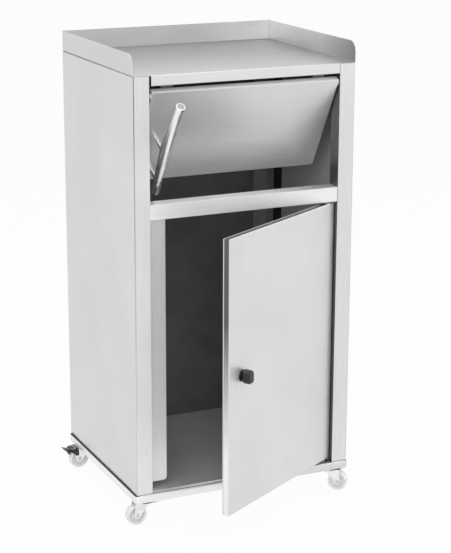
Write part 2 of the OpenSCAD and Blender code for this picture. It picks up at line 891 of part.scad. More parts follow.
// Hub with a thick boss, a thin web and a rim
module wheel_hub(k) {
    rim_r = wheel_d / 2 - tread_t;
    color(wheel_white) at_axle(k) rotate([90, 0, 0]) rotate_extrude() {
        translate([axle_r + run_fit, -boss_w / 2]) square([boss_r - axle_r - run_fit, boss_w]);
        translate([boss_r - cut, -web_w / 2]) square([rim_r - boss_r, web_w]);
        translate([rim_r - rim_t, -rim_w / 2]) square([rim_t, rim_w]);
    }
}

// Point over the tread of a caster: gap is its height over the tread, angle is up from the level
function over_tread(gap, angle) = [trail, axle_z] + (wheel_d / 2 + gap) * [cos(angle), sin(angle)];

// Side view of a pedal: a plate that rises to its tip, and a claw that reaches down to the tread
module pedal_outline() {
    pin = [pedal_x, pedal_z];
    shoulder = pedal_barrel_r;
    tip = pin + [pedal_reach, pedal_rise - pedal_t];
    root = pin + [pedal_reach / 2, pedal_t];
    polygon([pin + [-shoulder / 2, shoulder], pin + [shoulder, shoulder], tip + [-1, pedal_t], tip, root,
        over_tread(claw_gap + claw_t, claw_angle - 2), over_tread(claw_gap + 1, claw_angle - 3),
        over_tread(claw_gap, claw_angle), over_tread(claw_gap + 1, claw_angle + 5),
        root - [2 * claw_t, claw_t], pin - [-shoulder / 2, shoulder]]);
}

// Foot pedal whose claw comes down on the back of the tread
module brake_pedal(k) {
    pin_l = leg_in + leg_t;
    color(black) at_caster(k) rotate([0, 0, caster_turn[k]]) difference() {
        union() {
            translate([0, -pedal_w / 2, 0]) upright(pedal_w) pedal_outline();
            translate([pedal_x, 0, pedal_z]) {
                along_y(-pedal_w / 2, pedal_w / 2, pedal_barrel_r);
                along_y(-pin_l, pin_l, pedal_pin_r);
            }
        }
        translate([pedal_tip_x - pedal_hole_in, 0, -wheel_d / 2]) cylinder(h = wheel_d, r = pedal_hole_r);
    }
}

front_left_post();
front_right_post();
rear_left_post();
rear_right_post();
left_side_panel();
right_side_panel();
back_panel();
worktop();
mid_rail();
base_front_tube();
base_right_tube();
base_rear_tube();
base_left_tube();
base_gussets();
bin_floor();
latch_strip();
upper_hinge_bracket();
lower_hinge_bracket();
flap_pivot_pins();
flap_stops();
caster_bolts();
door_outer_skin();
door_inner_skin();
door_upper_bush();
door_lower_bush();
latch_body();
latch_nut();
latch_grip();
latch_cam();
latch_cam_screw();
flap_panel();
flap_bushes();
flap_handle();
handle_stays();
handle_end_plugs();
handle_screws();
caster_plate(FRONT_LEFT);  // front_left_caster_plate
caster_fork(FRONT_LEFT);  // front_left_caster_fork
caster_axle(FRONT_LEFT);  // front_left_axle
wheel_tread(FRONT_LEFT);  // front_left_wheel_tread
wheel_hub(FRONT_LEFT);  // front_left_wheel_hub
caster_plate(FRONT_RIGHT);  // front_right_caster_plate
caster_fork(FRONT_RIGHT);  // front_right_caster_fork
caster_axle(FRONT_RIGHT);  // front_right_axle
wheel_tread(FRONT_RIGHT);  // front_right_wheel_tread
wheel_hub(FRONT_RIGHT);  // front_right_wheel_hub
caster_plate(REAR_LEFT);  // rear_left_caster_plate
caster_fork(REAR_LEFT);  // rear_left_caster_fork
caster_axle(REAR_LEFT);  // rear_left_axle
wheel_tread(REAR_LEFT);  // rear_left_wheel_tread
wheel_hub(REAR_LEFT);  // rear_left_wheel_hub
brake_pedal(REAR_LEFT);  // rear_left_brake_pedal
caster_plate(REAR_RIGHT);  // rear_right_caster_plate
caster_fork(REAR_RIGHT);  // rear_right_caster_fork
caster_axle(REAR_RIGHT);  // rear_right_axle
wheel_tread(REAR_RIGHT);  // rear_right_wheel_tread
wheel_hub(REAR_RIGHT);  // rear_right_wheel_hub
brake_pedal(REAR_RIGHT);  // rear_right_brake_pedal
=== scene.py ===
# %% [markdown]
# # A waste bin cabinet in brushed steel
# The real cabinet is folded and welded from stainless sheet and square tube. It stands on four
# swivel casters, has a throw-in flap with a bent tube handle, and a hinged door with a quarter-turn
# latch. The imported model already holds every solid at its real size, in metres, so this lesson never
# measures anything twice: it loads that model, gives each piece its finish, and models by hand the
# few pieces whose true form is rounder than a plain solid, such as folded sheets, wheels and the tube.

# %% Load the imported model
import json
import math

import bmesh
import bpy
from mathutils import Matrix, Vector


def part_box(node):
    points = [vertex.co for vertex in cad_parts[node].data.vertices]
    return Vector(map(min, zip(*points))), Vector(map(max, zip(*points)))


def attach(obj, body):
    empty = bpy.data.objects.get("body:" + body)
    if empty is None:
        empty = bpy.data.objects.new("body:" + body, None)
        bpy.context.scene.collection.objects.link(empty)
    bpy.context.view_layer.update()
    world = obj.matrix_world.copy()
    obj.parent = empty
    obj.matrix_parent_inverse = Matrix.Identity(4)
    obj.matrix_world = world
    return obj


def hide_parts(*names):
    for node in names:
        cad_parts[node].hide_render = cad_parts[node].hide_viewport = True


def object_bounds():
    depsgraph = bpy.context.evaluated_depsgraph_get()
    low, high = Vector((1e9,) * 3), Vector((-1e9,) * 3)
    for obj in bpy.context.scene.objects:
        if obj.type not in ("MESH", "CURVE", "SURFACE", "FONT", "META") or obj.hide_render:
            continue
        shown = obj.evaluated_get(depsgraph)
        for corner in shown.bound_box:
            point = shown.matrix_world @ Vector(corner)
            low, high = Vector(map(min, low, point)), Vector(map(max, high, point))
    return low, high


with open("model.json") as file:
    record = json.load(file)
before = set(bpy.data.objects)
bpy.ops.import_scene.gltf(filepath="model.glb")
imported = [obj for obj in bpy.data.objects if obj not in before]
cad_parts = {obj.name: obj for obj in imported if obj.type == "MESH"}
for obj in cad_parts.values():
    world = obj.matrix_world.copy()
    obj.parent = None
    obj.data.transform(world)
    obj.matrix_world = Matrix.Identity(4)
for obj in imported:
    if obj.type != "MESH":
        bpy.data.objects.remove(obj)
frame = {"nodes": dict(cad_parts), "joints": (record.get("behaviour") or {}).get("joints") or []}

X, Y, Z = range(3)
cad_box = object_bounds()
nodes = frame["nodes"]
joints = {joint["name"]: joint for joint in frame["joints"]}


def in_mm(lengths):
    """Lengths in millimetres, to print."""
    return [round(length * 1000, 1) for length in lengths]


print("Loaded", len(nodes), "solids in the box", [in_mm(corner) for corner in cad_box])

# %% [markdown]
# ## Look at it from where the photographer stood
# The camera stood about 4 m away, half a metre above the worktop and to the left of the front. A long
# lens keeps the uprights nearly parallel. Blender builds a camera from a matrix whose columns are its
# right, its up and the reverse of its looking direction, so the three are worked out from a turn, a
# tilt and a small roll.

# %% Place the camera
CAMERA_PLACE = Vector((-1.6344, -3.5484, 1.6585))
CAMERA_TURN, CAMERA_TILT, CAMERA_ROLL = (math.radians(a) for a in (24.97, -15.59, 0.21))
FRAME_HEIGHT_PIXELS = 553
FOCAL_PIXELS = 1654.0
SENSOR_MM = 36.0
FAR_ENOUGH = 60.0

ahead = Vector((math.cos(CAMERA_TILT) * math.sin(CAMERA_TURN),
                math.cos(CAMERA_TILT) * math.cos(CAMERA_TURN),
                math.sin(CAMERA_TILT)))
level_right = ahead.cross(Vector((0, 0, 1))).normalized()
roll = Matrix.Rotation(-CAMERA_ROLL, 3, ahead)
right = roll @ level_right
up = roll @ level_right.cross(ahead)

camera_data = bpy.data.cameras.new("photo_camera")
camera_data.sensor_width = SENSOR_MM
camera_data.lens = FOCAL_PIXELS / FRAME_HEIGHT_PIXELS * SENSOR_MM
camera_data.clip_end = FAR_ENOUGH
camera = bpy.data.objects.new("photo_camera", camera_data)
camera.matrix_world = Matrix.Translation(CAMERA_PLACE) @ Matrix((right, up, -ahead)).transposed().to_4x4()
bpy.context.scene.collection.objects.link(camera)
bpy.context.scene.camera = camera
print("Lens of", round(camera_data.lens, 1), "mm, looking along", [round(v, 3) for v in ahead])

# %% [markdown]
# ## A white studio
# Steel has no colour of its own to show: it shows the room. A plain white room makes it a calm light
# grey, and the floor in front of it is what its upright faces reflect. The floor is a disc of matt
# white. Where the camera or a reflection sees it, nearly all of its white is light of its own, and
# where it only passes light on it has none. So it looks as white as the background, lights nothing,
# and keeps a faint shadow of the cabinet. A material is a tree of nodes, so a few helpers that make
# and join nodes come first.

# %% Join shader nodes


def new_material(name):
    """A node material, its node tree and its Principled shader."""
    material = bpy.data.materials.new(name)
    material.use_nodes = True
    return material, material.node_tree, material.node_tree.nodes["Principled BSDF"]


def arithmetic(tree, operation, first, second):
    """first and second joined by a Math node; each is a socket or a number."""
    node = tree.nodes.new("ShaderNodeMath")
    node.operation = operation
    for socket, value in zip(node.inputs, (first, second)):
        if isinstance(value, (int, float)):
            socket.default_value = value
        else:
            tree.links.new(value, socket)
    return node.outputs[0]


def mapped(tree, value, low, high, start=0.0, end=1.0):
    """value between start and end, spread over low to high."""
    spread = tree.nodes.new("ShaderNodeMapRange")
    for socket, number in (("From Min", start), ("From Max", end), ("To Min", low), ("To Max", high)):
        spread.inputs[socket].default_value = number
    tree.links.new(value, spread.inputs["Value"])
    return spread.outputs["Result"]


def seen_directly(tree):
    """1 where a camera, glossy or transmission ray asks, and 0 for a diffuse ray."""
    rays = tree.nodes.new("ShaderNodeLightPath").outputs
    seen = arithmetic(tree, "MAXIMUM", rays["Is Camera Ray"], rays["Is Glossy Ray"])
    return arithmetic(tree, "MAXIMUM", seen, rays["Is Transmission Ray"])


print("Four helpers for materials")

# %% Lay the floor
FLOOR_RADIUS = 14.0
FLOOR_SIDES = 96
FLOOR_GLOW = 0.95

floor_paint, floor_tree, paint = new_material("studio_floor")
paint.inputs["Base Color"].default_value = (0.9, 0.9, 0.9, 1.0)
paint.inputs["Roughness"].default_value = 0.9
paint.inputs["Specular IOR Level"].default_value = 0.1
glow = floor_tree.nodes.new("ShaderNodeEmission")
mix = floor_tree.nodes.new("ShaderNodeMixShader")
glow_share = arithmetic(floor_tree, "MULTIPLY", seen_directly(floor_tree), FLOOR_GLOW)
floor_tree.links.new(glow_share, mix.inputs["Fac"])
floor_tree.links.new(paint.outputs["BSDF"], mix.inputs[1])
floor_tree.links.new(glow.outputs["Emission"], mix.inputs[2])
floor_tree.links.new(mix.outputs["Shader"], floor_tree.nodes["Material Output"].inputs["Surface"])

bpy.ops.mesh.primitive_circle_add(vertices=FLOOR_SIDES, radius=FLOOR_RADIUS, fill_type="NGON")
floor = bpy.context.object
floor.name = "studio_floor"
floor.data.materials.append(floor_paint)
print("Floor of", 2 * FLOOR_RADIUS, "m across")

# %% [markdown]
# ## Light from all around, and four soft lamps
# The world is white where it is seen, but sends less light than that onto matt surfaces, so the white
# wheels don't burn out. Three large lamps give the faces their small differences: a key lamp at the
# front left, a weaker one at the right and one overhead. A narrow upright lamp beside the camera draws
# the bright lines on round tube and on folds, and shines past the open door onto the floor inside.

# %% Light the studio
WORLD_FILL = 0.55


def paint_world():
    """White to camera and reflections, and a dimmer fill to matt surfaces."""
    world = bpy.data.worlds.new("studio_world")
    world.use_nodes = True
    bpy.context.scene.world = world
    tree = world.node_tree
    background = tree.nodes["Background"]
    background.inputs["Color"].default_value = (1.0, 1.0, 1.0, 1.0)
    tree.links.new(mapped(tree, seen_directly(tree), WORLD_FILL, 1.0), background.inputs["Strength"])


def soft_lamp(name, place, target, width, height, watts):
    """Adds a rectangular lamp at place that faces target."""
    data = bpy.data.lights.new(name, "AREA")
    data.shape = "RECTANGLE"
    data.size, data.size_y = width, height
    data.energy = watts
    lamp = bpy.data.objects.new(name, data)
    lamp.location = place
    lamp.rotation_euler = (Vector(target) - Vector(place)).to_track_quat("-Z", "Y").to_euler()
    bpy.context.scene.collection.objects.link(lamp)


paint_world()
soft_lamp("key_lamp", (-2.6, -2.8, 3.0), (0, 0, 0.6), 2.6, 2.6, 50)
soft_lamp("side_lamp", (3.2, -1.6, 2.2), (0, 0, 0.5), 2.4, 2.4, 26)
soft_lamp("top_lamp", (0.2, 0.6, 3.8), (0, 0, 0.8), 2.8, 2.8, 30)
soft_lamp("strip_lamp", (-1.3, -3.5, 1.8), (0, 0, 0.5), 0.5, 1.4, 24)
bpy.context.scene.view_settings.view_transform = "Standard"
print("World fill", WORLD_FILL, "and", len(bpy.data.lights), "lamps")

# %% [markdown]
# ## Brushed stainless steel
# A belt of abrasive leaves long fine scratches in one direction, the grain. Each scratch is a little
# brighter or darker than its neighbour and spreads light sideways. So the finish is a noise texture
# stretched along the grain: it drives the tone, the roughness and a very small bump. A second, broad
# noise gives the soft clouds that handling leaves. A third, sparse one is the wear: rubbed spots that
# are smoother. The scratches are made in the object's own coordinates, in metres, so they have their
# real size and move with the piece. Scratches also blur a reflection across the grain but hardly along
# it, which the shader calls anisotropic: its tangent is the direction of the wide blur.

# %% Make noise and bumps


def own_place(tree):
    """Where a point is in its object's own coordinates, in metres."""
    return tree.nodes.new("ShaderNodeTexCoord").outputs["Object"]


def noise(tree, place, scale, detail=2.0, stretch=(1, 1, 1)):
    """Noise of that scale per metre, stretched by three factors."""
    mapping = tree.nodes.new("ShaderNodeMapping")
    mapping.inputs["Scale"].default_value = [scale * s for s in stretch]
    texture = tree.nodes.new("ShaderNodeTexNoise")
    texture.inputs["Scale"].default_value = 1.0
    texture.inputs["Detail"].default_value = detail
    tree.links.new(place, mapping.inputs["Vector"])
    tree.links.new(mapping.outputs["Vector"], texture.inputs["Vector"])
    return texture.outputs["Fac"]


def uneven(tree, value, low, high):
    """A noise spread over low to high. Most of a noise lies between 0.3 and 0.7."""
    return mapped(tree, value, low, high, 0.3, 0.7)


def tinted(tree, value, tint):
    """A grey value as a colour with a slight tint."""
    colour = tree.nodes.new("ShaderNodeCombineColor")
    for socket, part in zip(colour.inputs, tint):
        tree.links.new(arithmetic(tree, "MULTIPLY", value, part), socket)
    return colour.outputs["Color"]


def bumped(tree, shader, height, strength, distance):
    """Raises the surface by a height of 0 to 1, times a distance in metres."""
    bump = tree.nodes.new("ShaderNodeBump")
    bump.inputs["Strength"].default_value = strength
    bump.inputs["Distance"].default_value = distance
    tree.links.new(height, bump.inputs["Height"])
    tree.links.new(bump.outputs["Normal"], shader.inputs["Normal"])


print("Five helpers for finishes")

# %% Mix the steel
ALONG_X, ALONG_Z = (1, 0, 0), (0, 0, 1)
SCRATCH_ACROSS = 1400.0
SCRATCH_ALONG = 9.0
SCRATCH_TONE = 0.05
SCRATCH_GLOSS = 0.05
CLOUD_SCALE = 5.0
CLOUD_TONE = 0.03
RUBBED_SCALE = 22.0
STEEL_TINT = (1.0, 0.999, 0.994)
BLUR_ACROSS = 0.6


def brushed_steel(name, grain, tone, roughness=0.42, metal=0.8, shade=None):
    """Steel brushed along grain. tone is its reflectance, and shade(tree, place) darkens places."""
    material, tree, shader = new_material(name)
    place = own_place(tree)
    stretch = [SCRATCH_ALONG / SCRATCH_ACROSS if part else 1 for part in grain]
    scratches = noise(tree, place, SCRATCH_ACROSS, 3.0, stretch)
    clouds = noise(tree, place, CLOUD_SCALE)
    rubbed = noise(tree, place, RUBBED_SCALE, 4.0)
    value = arithmetic(tree, "MULTIPLY", uneven(tree, scratches, 1 - SCRATCH_TONE, 1 + SCRATCH_TONE),
                       uneven(tree, clouds, tone * (1 - CLOUD_TONE), tone * (1 + CLOUD_TONE)))
    if shade:
        value = arithmetic(tree, "MULTIPLY", value, shade(tree, place))
    tree.links.new(tinted(tree, value, STEEL_TINT), shader.inputs["Base Color"])
    gloss = arithmetic(tree, "ADD", uneven(tree, scratches, -SCRATCH_GLOSS, SCRATCH_GLOSS),
                       mapped(tree, rubbed, roughness - 0.05, roughness + 0.02, 0.25, 0.6))
    tree.links.new(gloss, shader.inputs["Roughness"])
    shader.inputs["Metallic"].default_value = metal
    shader.inputs["Anisotropic"].default_value = BLUR_ACROSS
    across = tree.nodes.new("ShaderNodeVectorTransform")
    across.vector_type = "VECTOR"
    across.convert_from, across.convert_to = "OBJECT", "WORLD"
    across.inputs[0].default_value = [1 - part for part in grain]
    tree.links.new(across.outputs[0], shader.inputs["Tangent"])
    bumped(tree, shader, scratches, 0.12, 0.0002)
    return material


lip_steel = brushed_steel("lip_steel", ALONG_X, 0.72)
side_steel = brushed_steel("side_steel", ALONG_Z, 0.72)
door_steel = brushed_steel("door_steel", ALONG_Z, 0.73)
strip_steel = brushed_steel("strip_steel", ALONG_Z, 0.74)
mill_steel = brushed_steel("mill_steel", ALONG_Z, 0.30, roughness=0.45)
# Nearly black steel, a painted shade for flap stops and hinge brackets that sit in shadow.
painted_shade_steel = brushed_steel("painted_shade_steel", ALONG_Z, 0.16, roughness=0.45)
# Nearly black steel, a painted shadow for the gap under the side panels.
gap_shadow_steel = brushed_steel("gap_shadow_steel", ALONG_X, 0.05, roughness=0.6, metal=0.3)
print("Scratches are", round(SCRATCH_ACROSS / SCRATCH_ALONG), "times as long as they are wide")

# %% [markdown]
# ## Shades that ask where they are
# Only the outside of a panel is brushed. Its inside keeps the dull grey skin of the rolling mill, and
# it is painted much darker too, a painted shade for the dim inside of the cabinet, made uneven by dust.
# A back panel or a post is one solid, so its finish asks where on the piece it is: a step inside the
# metal, in the object's own coordinates, tells one side from the other. Such a question is a shade, a
# function that adds its nodes to a material and gives back the factor by which a place is darker.
# Shades can be joined, so a few short ones make every steel here.

# %% Define the shades
PLATE_SHADE_TONE = 0.06
PLATE_SHADE_EDGE = 0.001


def axis_value(tree, place, axis):
    """The coordinate along an axis, in metres."""
    split = tree.nodes.new("ShaderNodeSeparateXYZ")
    tree.links.new(place, split.inputs[0])
    return split.outputs[axis]


def part_way(node, axis, part=0.5):
    """The coordinate that part of the way through a node, half of it if no part is given."""
    low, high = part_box(node)
    return low[axis] + part * (high[axis] - low[axis])


def spread_over(axis, start, end, first, last):
    """A shade that goes from first at the coordinate start to last at end."""
    def shade(tree, place):
        return mapped(tree, axis_value(tree, place, axis), first, last, start, end)
    return shade


def along_node(node, axis, start, end, first, last):
    """A shade that goes from first to last between two parts of the way through a node."""
    return spread_over(axis, part_way(node, axis, start), part_way(node, axis, end), first, last)


def beyond(axis, level, sense, inner):
    """Uses the shade inner above level (sense 1) or below it (sense -1), and is 1 on the other side."""
    def shade(tree, place):
        step = arithmetic(tree, "GREATER_THAN" if sense > 0 else "LESS_THAN",
                          axis_value(tree, place, axis), level)
        change = arithmetic(tree, "SUBTRACT", inner(tree, place), 1.0)
        return arithmetic(tree, "ADD", 1.0, arithmetic(tree, "MULTIPLY", step, change))
    return shade


def dust_and_shade(tone):
    """A painted darkening to about tone, made uneven by dust."""
    def shade(tree, place):
        return arithmetic(tree, "MULTIPLY", uneven(tree, noise(tree, place, 14.0, 4.0), 0.88, 1.12), tone)
    return shade


def around(x, y, reach):
    """A painted shade up to a distance reach from the upright line through x and y."""
    def shade(tree, place):
        flat, away = (tree.nodes.new("ShaderNodeVectorMath") for _ in range(2))
        flat.operation, away.operation = "MULTIPLY", "DISTANCE"
        flat.inputs[1].default_value = (1, 1, 0)
        away.inputs[1].default_value = (x, y, 0)
        tree.links.new(place, flat.inputs[0])
        tree.links.new(flat.outputs[0], away.inputs[0])
        distance = away.outputs["Value"]
        return mapped(tree, distance, PLATE_SHADE_TONE, 1.0, reach - PLATE_SHADE_EDGE, reach + PLATE_SHADE_EDGE)
    return shade


def joined(operation, first, second):
    """Two shades joined by a Math operation."""
    def shade(tree, place):
        return arithmetic(tree, operation, first(tree, place), second(tree, place))
    return shade


print("The worktop's middle is at x", round(part_way("worktop", X), 4), "m")

# %% [markdown]
# ## Steels that change over a piece
# The back panel and the right post are dull on the side that looks into the cabinet, and painted
# darker there, a painted shade. The side panels are dull inside and have a painted dark band at the
# back, a painted reflection of the corner behind them. Along the left post, where the side panel is
# welded on, a thin painted shadow marks the seam and fades towards the floor. The bin floor's folded
# front edge is a little darker, a painted shade. Other shades are painted reflections that stand in
# for a real room, since this studio is white all round: the door's narrow flanges are dark above and
# white near the floor, the left post darkens towards its top, and towards the right the rail darkens
# a little and the base more.

# %% Mix the steels of posts, panels and frame
INSIDE_SHADE_TONE = 0.25
POST_INSIDE_SHADE = 0.21
SKIN_DEPTH = 0.0008
SEAM_SHADOW_WIDTH = 0.0026
PAN_EDGE_SHADE = 0.002
CORNER_REFLECTION_BAND = 0.088

# The left post darkens towards its top: a painted reflection.
post_top_reflection = spread_over(Z, 0.60, 0.95, 1.0, 0.83)
# A thin painted shadow along the left post's seam, fading towards the floor.
seam_shadow = spread_over(Z, 0.25, 1.05, 1.0, 0.25)
left_post_steel = brushed_steel("left_post_steel", ALONG_Z, 0.81, metal=0.45, shade=joined(
    "MULTIPLY", post_top_reflection, beyond(X, part_way("front_left_post", X, 0) + SEAM_SHADOW_WIDTH, -1, seam_shadow)))
# The right post's inner face: dull mill skin, painted darker as painted shade.
right_post_steel = brushed_steel("right_post_steel", ALONG_Z, 0.72, shade=beyond(
    X, part_way("front_right_post", X, 0) + SKIN_DEPTH, -1, dust_and_shade(POST_INSIDE_SHADE)))
# The back panel's inside: dull mill skin, painted darker as painted shade.
back_panel_steel = brushed_steel("back_panel_steel", ALONG_Z, 0.70, shade=beyond(
    Y, part_way("back_panel", Y), -1, dust_and_shade(INSIDE_SHADE_TONE)))
# The dark band at the back of the side panels' insides is a painted reflection of the corner.
inner_side_steel = brushed_steel("inner_side_steel", ALONG_Z, 0.50, roughness=0.50, metal=0.5, shade=beyond(
    Y, part_way("back_panel", Y, 0) - CORNER_REFLECTION_BAND, 1, dust_and_shade(0.03)))
# The bin floor's folded front edge is painted darker, a painted shade.
floor_pan_steel = brushed_steel("floor_pan_steel", ALONG_X, 0.74, roughness=0.40, metal=0.6, shade=beyond(
    Y, part_way("bin_floor", Y, 0) + PAN_EDGE_SHADE, -1, dust_and_shade(0.72)))
# The door's flanges: a painted reflection, dark above and light near the floor.
flange_steel = brushed_steel("flange_steel", ALONG_Z, 0.88, shade=along_node(
    "door_outer_skin", Z, 0.2, 0.7, 1.0, 0.14))
# The rail and the base darken towards the right: painted reflections.
rail_steel = brushed_steel("rail_steel", ALONG_X, 0.87, shade=along_node("mid_rail", X, 0, 1, 1.05, 0.96))
base_steel = brushed_steel("base_steel", ALONG_X, 0.88, shade=spread_over(X, -0.02, 0.22, 1.0, 0.76))
print("Inside tone", INSIDE_SHADE_TONE, "of the outside")

# %% [markdown]
# ## The worktop, darker towards the back, and the flap
# The worktop is brushed from side to side. It lies flat, so it mirrors the room behind the cabinet and
# its own upstands; a painted reflection makes it darker the further back it is. The upstands mirror the
# white room, so the painted shade ends just over the sheet, and only the front corner of the right one
# gets a painted reflection of the dim far side of the room. The flap hangs at a slant and mirrors the
# room too, so a painted reflection makes its tone rise towards its foot and towards its right end.

# %% Mix the steels of worktop and flap
WORKTOP_TONE = 0.66
FRONT_SHADE = 0.74
BACK_SHADE = 0.50
CORNER_SHADE = 0.50
CORNER_REACH = 0.17
UPSTAND = 0.050
UPSTAND_FADE = 0.003
UPSTAND_SKIN = 0.0015
FLAP_FADE = 0.26

sheet_top = part_way("worktop", Z, 1) - UPSTAND
sheet_front = part_way("worktop", Y, 0)
# The worktop's shade is a painted reflection: darker at the back and at the right upstand's front.
flat_sheet = joined("MAXIMUM", along_node("worktop", Y, 0, 0.6, FRONT_SHADE, BACK_SHADE),
                    spread_over(Z, sheet_top, sheet_top + UPSTAND_FADE, 0.0, 1.0))
right_corner = beyond(X, part_way("worktop", X, 1) - UPSTAND_SKIN, 1, spread_over(
    Y, sheet_front, sheet_front + CORNER_REACH, CORNER_SHADE, 1.0))
worktop_steel = brushed_steel("worktop_steel", ALONG_X, WORKTOP_TONE, roughness=0.36, metal=0.9,
                              shade=joined("MULTIPLY", flat_sheet, right_corner))

flap_left = part_way("flap_panel", X, 0)
# The flap's shade is a painted reflection that rises towards its foot and its right end.
flap_steel = brushed_steel("flap_steel", ALONG_X, 0.93, roughness=0.38, metal=0.75, shade=joined(
    "MULTIPLY", along_node("flap_panel", Z, 0, 0.6, 1.0, 0.76),
    spread_over(X, flap_left, flap_left + FLAP_FADE, 0.78, 1.0)))
print("Worktop tone", WORKTOP_TONE, "with a shade down to", BACK_SHADE)

# %% [markdown]
# ## Polished tube and zinc
# The handle is polished, so it is smoother than the brushed sheet and shows only faint scratches.
# Bright zinc plating is a little blue and cloudy, with crystals a few millimetres wide. Each caster
# plate is painted dark up to a distance from its swivel, a painted shade for the gap under the base.

# %% Polish the tube and plate the zinc
ZINC_TINT = (0.985, 0.995, 1.0)


def polished_steel(name):
    """Bright tube with faint polishing lines and a few dull finger marks."""
    material, tree, shader = new_material(name)
    place = own_place(tree)
    lines = noise(tree, place, 900.0, 2.0, (0.02, 0.02, 1))
    marks = noise(tree, place, 30.0, 3.0)
    tree.links.new(tinted(tree, mapped(tree, lines, 0.84, 0.92), STEEL_TINT), shader.inputs["Base Color"])
    tree.links.new(uneven(tree, marks, 0.22, 0.32), shader.inputs["Roughness"])
    shader.inputs["Metallic"].default_value = 1.0
    return material


def zinc_plating(name, shade=None):
    """Bright zinc: cloudy crystals, a little blue. shade(tree, place) darkens places."""
    material, tree, shader = new_material(name)
    place = own_place(tree)
    crystals = tree.nodes.new("ShaderNodeTexVoronoi")
    crystals.inputs["Scale"].default_value = 260.0
    tree.links.new(place, crystals.inputs["Vector"])
    fog = noise(tree, place, 60.0, 4.0)
    value = arithmetic(tree, "MULTIPLY", mapped(tree, crystals.outputs["Distance"], 0.96, 1.04),
                       uneven(tree, fog, 0.76, 0.88))
    if shade:
        value = arithmetic(tree, "MULTIPLY", value, shade(tree, place))
    tree.links.new(tinted(tree, value, ZINC_TINT), shader.inputs["Base Color"])
    tree.links.new(uneven(tree, fog, 0.24, 0.40), shader.inputs["Roughness"])
    shader.inputs["Metallic"].default_value = 0.9
    return material


polished = polished_steel("polished_steel")
zinc = zinc_plating("zinc_plating")
# The axles are painted darker, a painted shade at the wheels' hubs.
shaded_axle_zinc = zinc_plating("shaded_axle_zinc", dust_and_shade(0.75))
print("Mixed", polished.name, "and", zinc.name)

# %% [markdown]
# ## Moulded plastics
# The black plastic of the latch and the pedals is moulded: a fine grain and soft gloss. The wheels are
# natural plastic: milky, slightly see-through at the surface, and clouded a little by dust. One
# function mixes them all, because they differ only in tone, tint, gloss and how far light goes in.

# %% Mould the plastics


def moulded_plastic(name, tone, tint, roughness, grain, see_through=0.0):
    """Moulded plastic with a fine grain; see_through lets light into its surface."""
    material, tree, shader = new_material(name)
    place = own_place(tree)
    pores = noise(tree, place, 1800.0)
    dust = noise(tree, place, 45.0, 4.0)
    tree.links.new(tinted(tree, uneven(tree, dust, tone * 0.93, tone * 1.04), tint),
                   shader.inputs["Base Color"])
    tree.links.new(uneven(tree, dust, roughness - 0.06, roughness + 0.08), shader.inputs["Roughness"])
    shader.inputs["Subsurface Weight"].default_value = see_through
    shader.inputs["Subsurface Radius"].default_value = (0.004, 0.004, 0.004)
    bumped(tree, shader, pores, grain, 0.0001)
    return material


black_plastic = moulded_plastic("black_plastic", 0.012, (1.0, 1.0, 1.05), 0.32, 0.3)
nylon = moulded_plastic("natural_nylon", 0.80, (1.0, 0.99, 0.96), 0.40, 0.2, 0.2)
plug_plastic = moulded_plastic("plug_plastic", 0.42, (1.0, 0.99, 0.97), 0.45, 0.2, 0.1)
tread_plastic = moulded_plastic("tread_plastic", 0.90, (1.0, 1.0, 0.985), 0.34, 0.25, 0.3)
hub_plastic = moulded_plastic("hub_plastic", 0.82, (1.0, 1.0, 0.985), 0.30, 0.15, 0.3)
print("Mixed", len(bpy.data.materials), "materials so far, the imported ones among them")

# %% [markdown]
# ## Dress the pieces that keep their solid
# Square tube, flat sheet, bolts and brackets already have the right shape, apart from their edges:
# no real edge is sharp. A weld modifier joins the corners of the imported triangles, and a bevel rounds
# every edge between faces that meet at an angle. The solid itself isn't changed. The latch grip is
# moulded, so it gets wider rounding than most of the steel.

# %% Soften and dress the solids
CORNERS = ["front_left", "front_right", "rear_left", "rear_right"]
MERGE = 1e-5
PLATE_SHADE_REACH = 0.034


def round_edges(piece, width, segments=3, sharper_than=50.0):
    """Adds a bevel to the edges that are sharper than an angle in degrees, and returns it."""
    rounding = piece.modifiers.new("rounded_edges", "BEVEL")
    rounding.width = width
    rounding.segments = segments
    rounding.limit_method = "ANGLE"
    rounding.angle_limit = math.radians(sharper_than)
    return rounding


def dress(names, finish, edge):
    """Gives solids a finish and rounds their edges with the radius edge, in metres."""
    for name in names:
        solid = nodes[name]
        solid.data.materials.clear()
        solid.data.materials.append(finish)
        solid.modifiers.new("joined_corners", "WELD").merge_threshold = MERGE
        round_edges(solid, edge).harden_normals = True


dress(["front_left_post"], left_post_steel, 0.0012)
dress(["front_right_post"], right_post_steel, 0.0006)
dress(["rear_left_post", "rear_right_post", "base_gussets"], mill_steel, 0.0004)
dress(["back_panel"], back_panel_steel, 0.0004)
dress(["mid_rail"], rail_steel, 0.0010)
dress(["flap_stops"], painted_shade_steel, 0.0004)
dress(["bin_floor"], floor_pan_steel, 0.0005)
dress(["latch_strip"], strip_steel, 0.0006)
dress(["upper_hinge_bracket", "lower_hinge_bracket"], painted_shade_steel, 0.0003)
dress(["flap_pivot_pins", "handle_stays"], polished, 0.0002)
dress(["caster_bolts", "latch_nut", "latch_cam", "latch_cam_screw", "handle_screws"], zinc, 0.0003)
dress(["door_upper_bush", "door_lower_bush", "flap_bushes"], nylon, 0.0002)
dress(["latch_body"], black_plastic, 0.0006)
dress(["latch_grip"], black_plastic, 0.0009)
for corner in CORNERS:
    plate = corner + "_caster_plate"
    # Each plate is painted dark round its swivel, a painted shade for the gap under the base.
    plate_shade = around(part_way(plate, X), part_way(plate, Y), PLATE_SHADE_REACH)
    dress([plate], zinc_plating(corner + "_plate_zinc", plate_shade), 0.0004)
    dress([corner + "_axle"], shaded_axle_zinc, 0.0003)
print("Dressed", sum(len(node.modifiers) == 2 for node in nodes.values()), "solids")

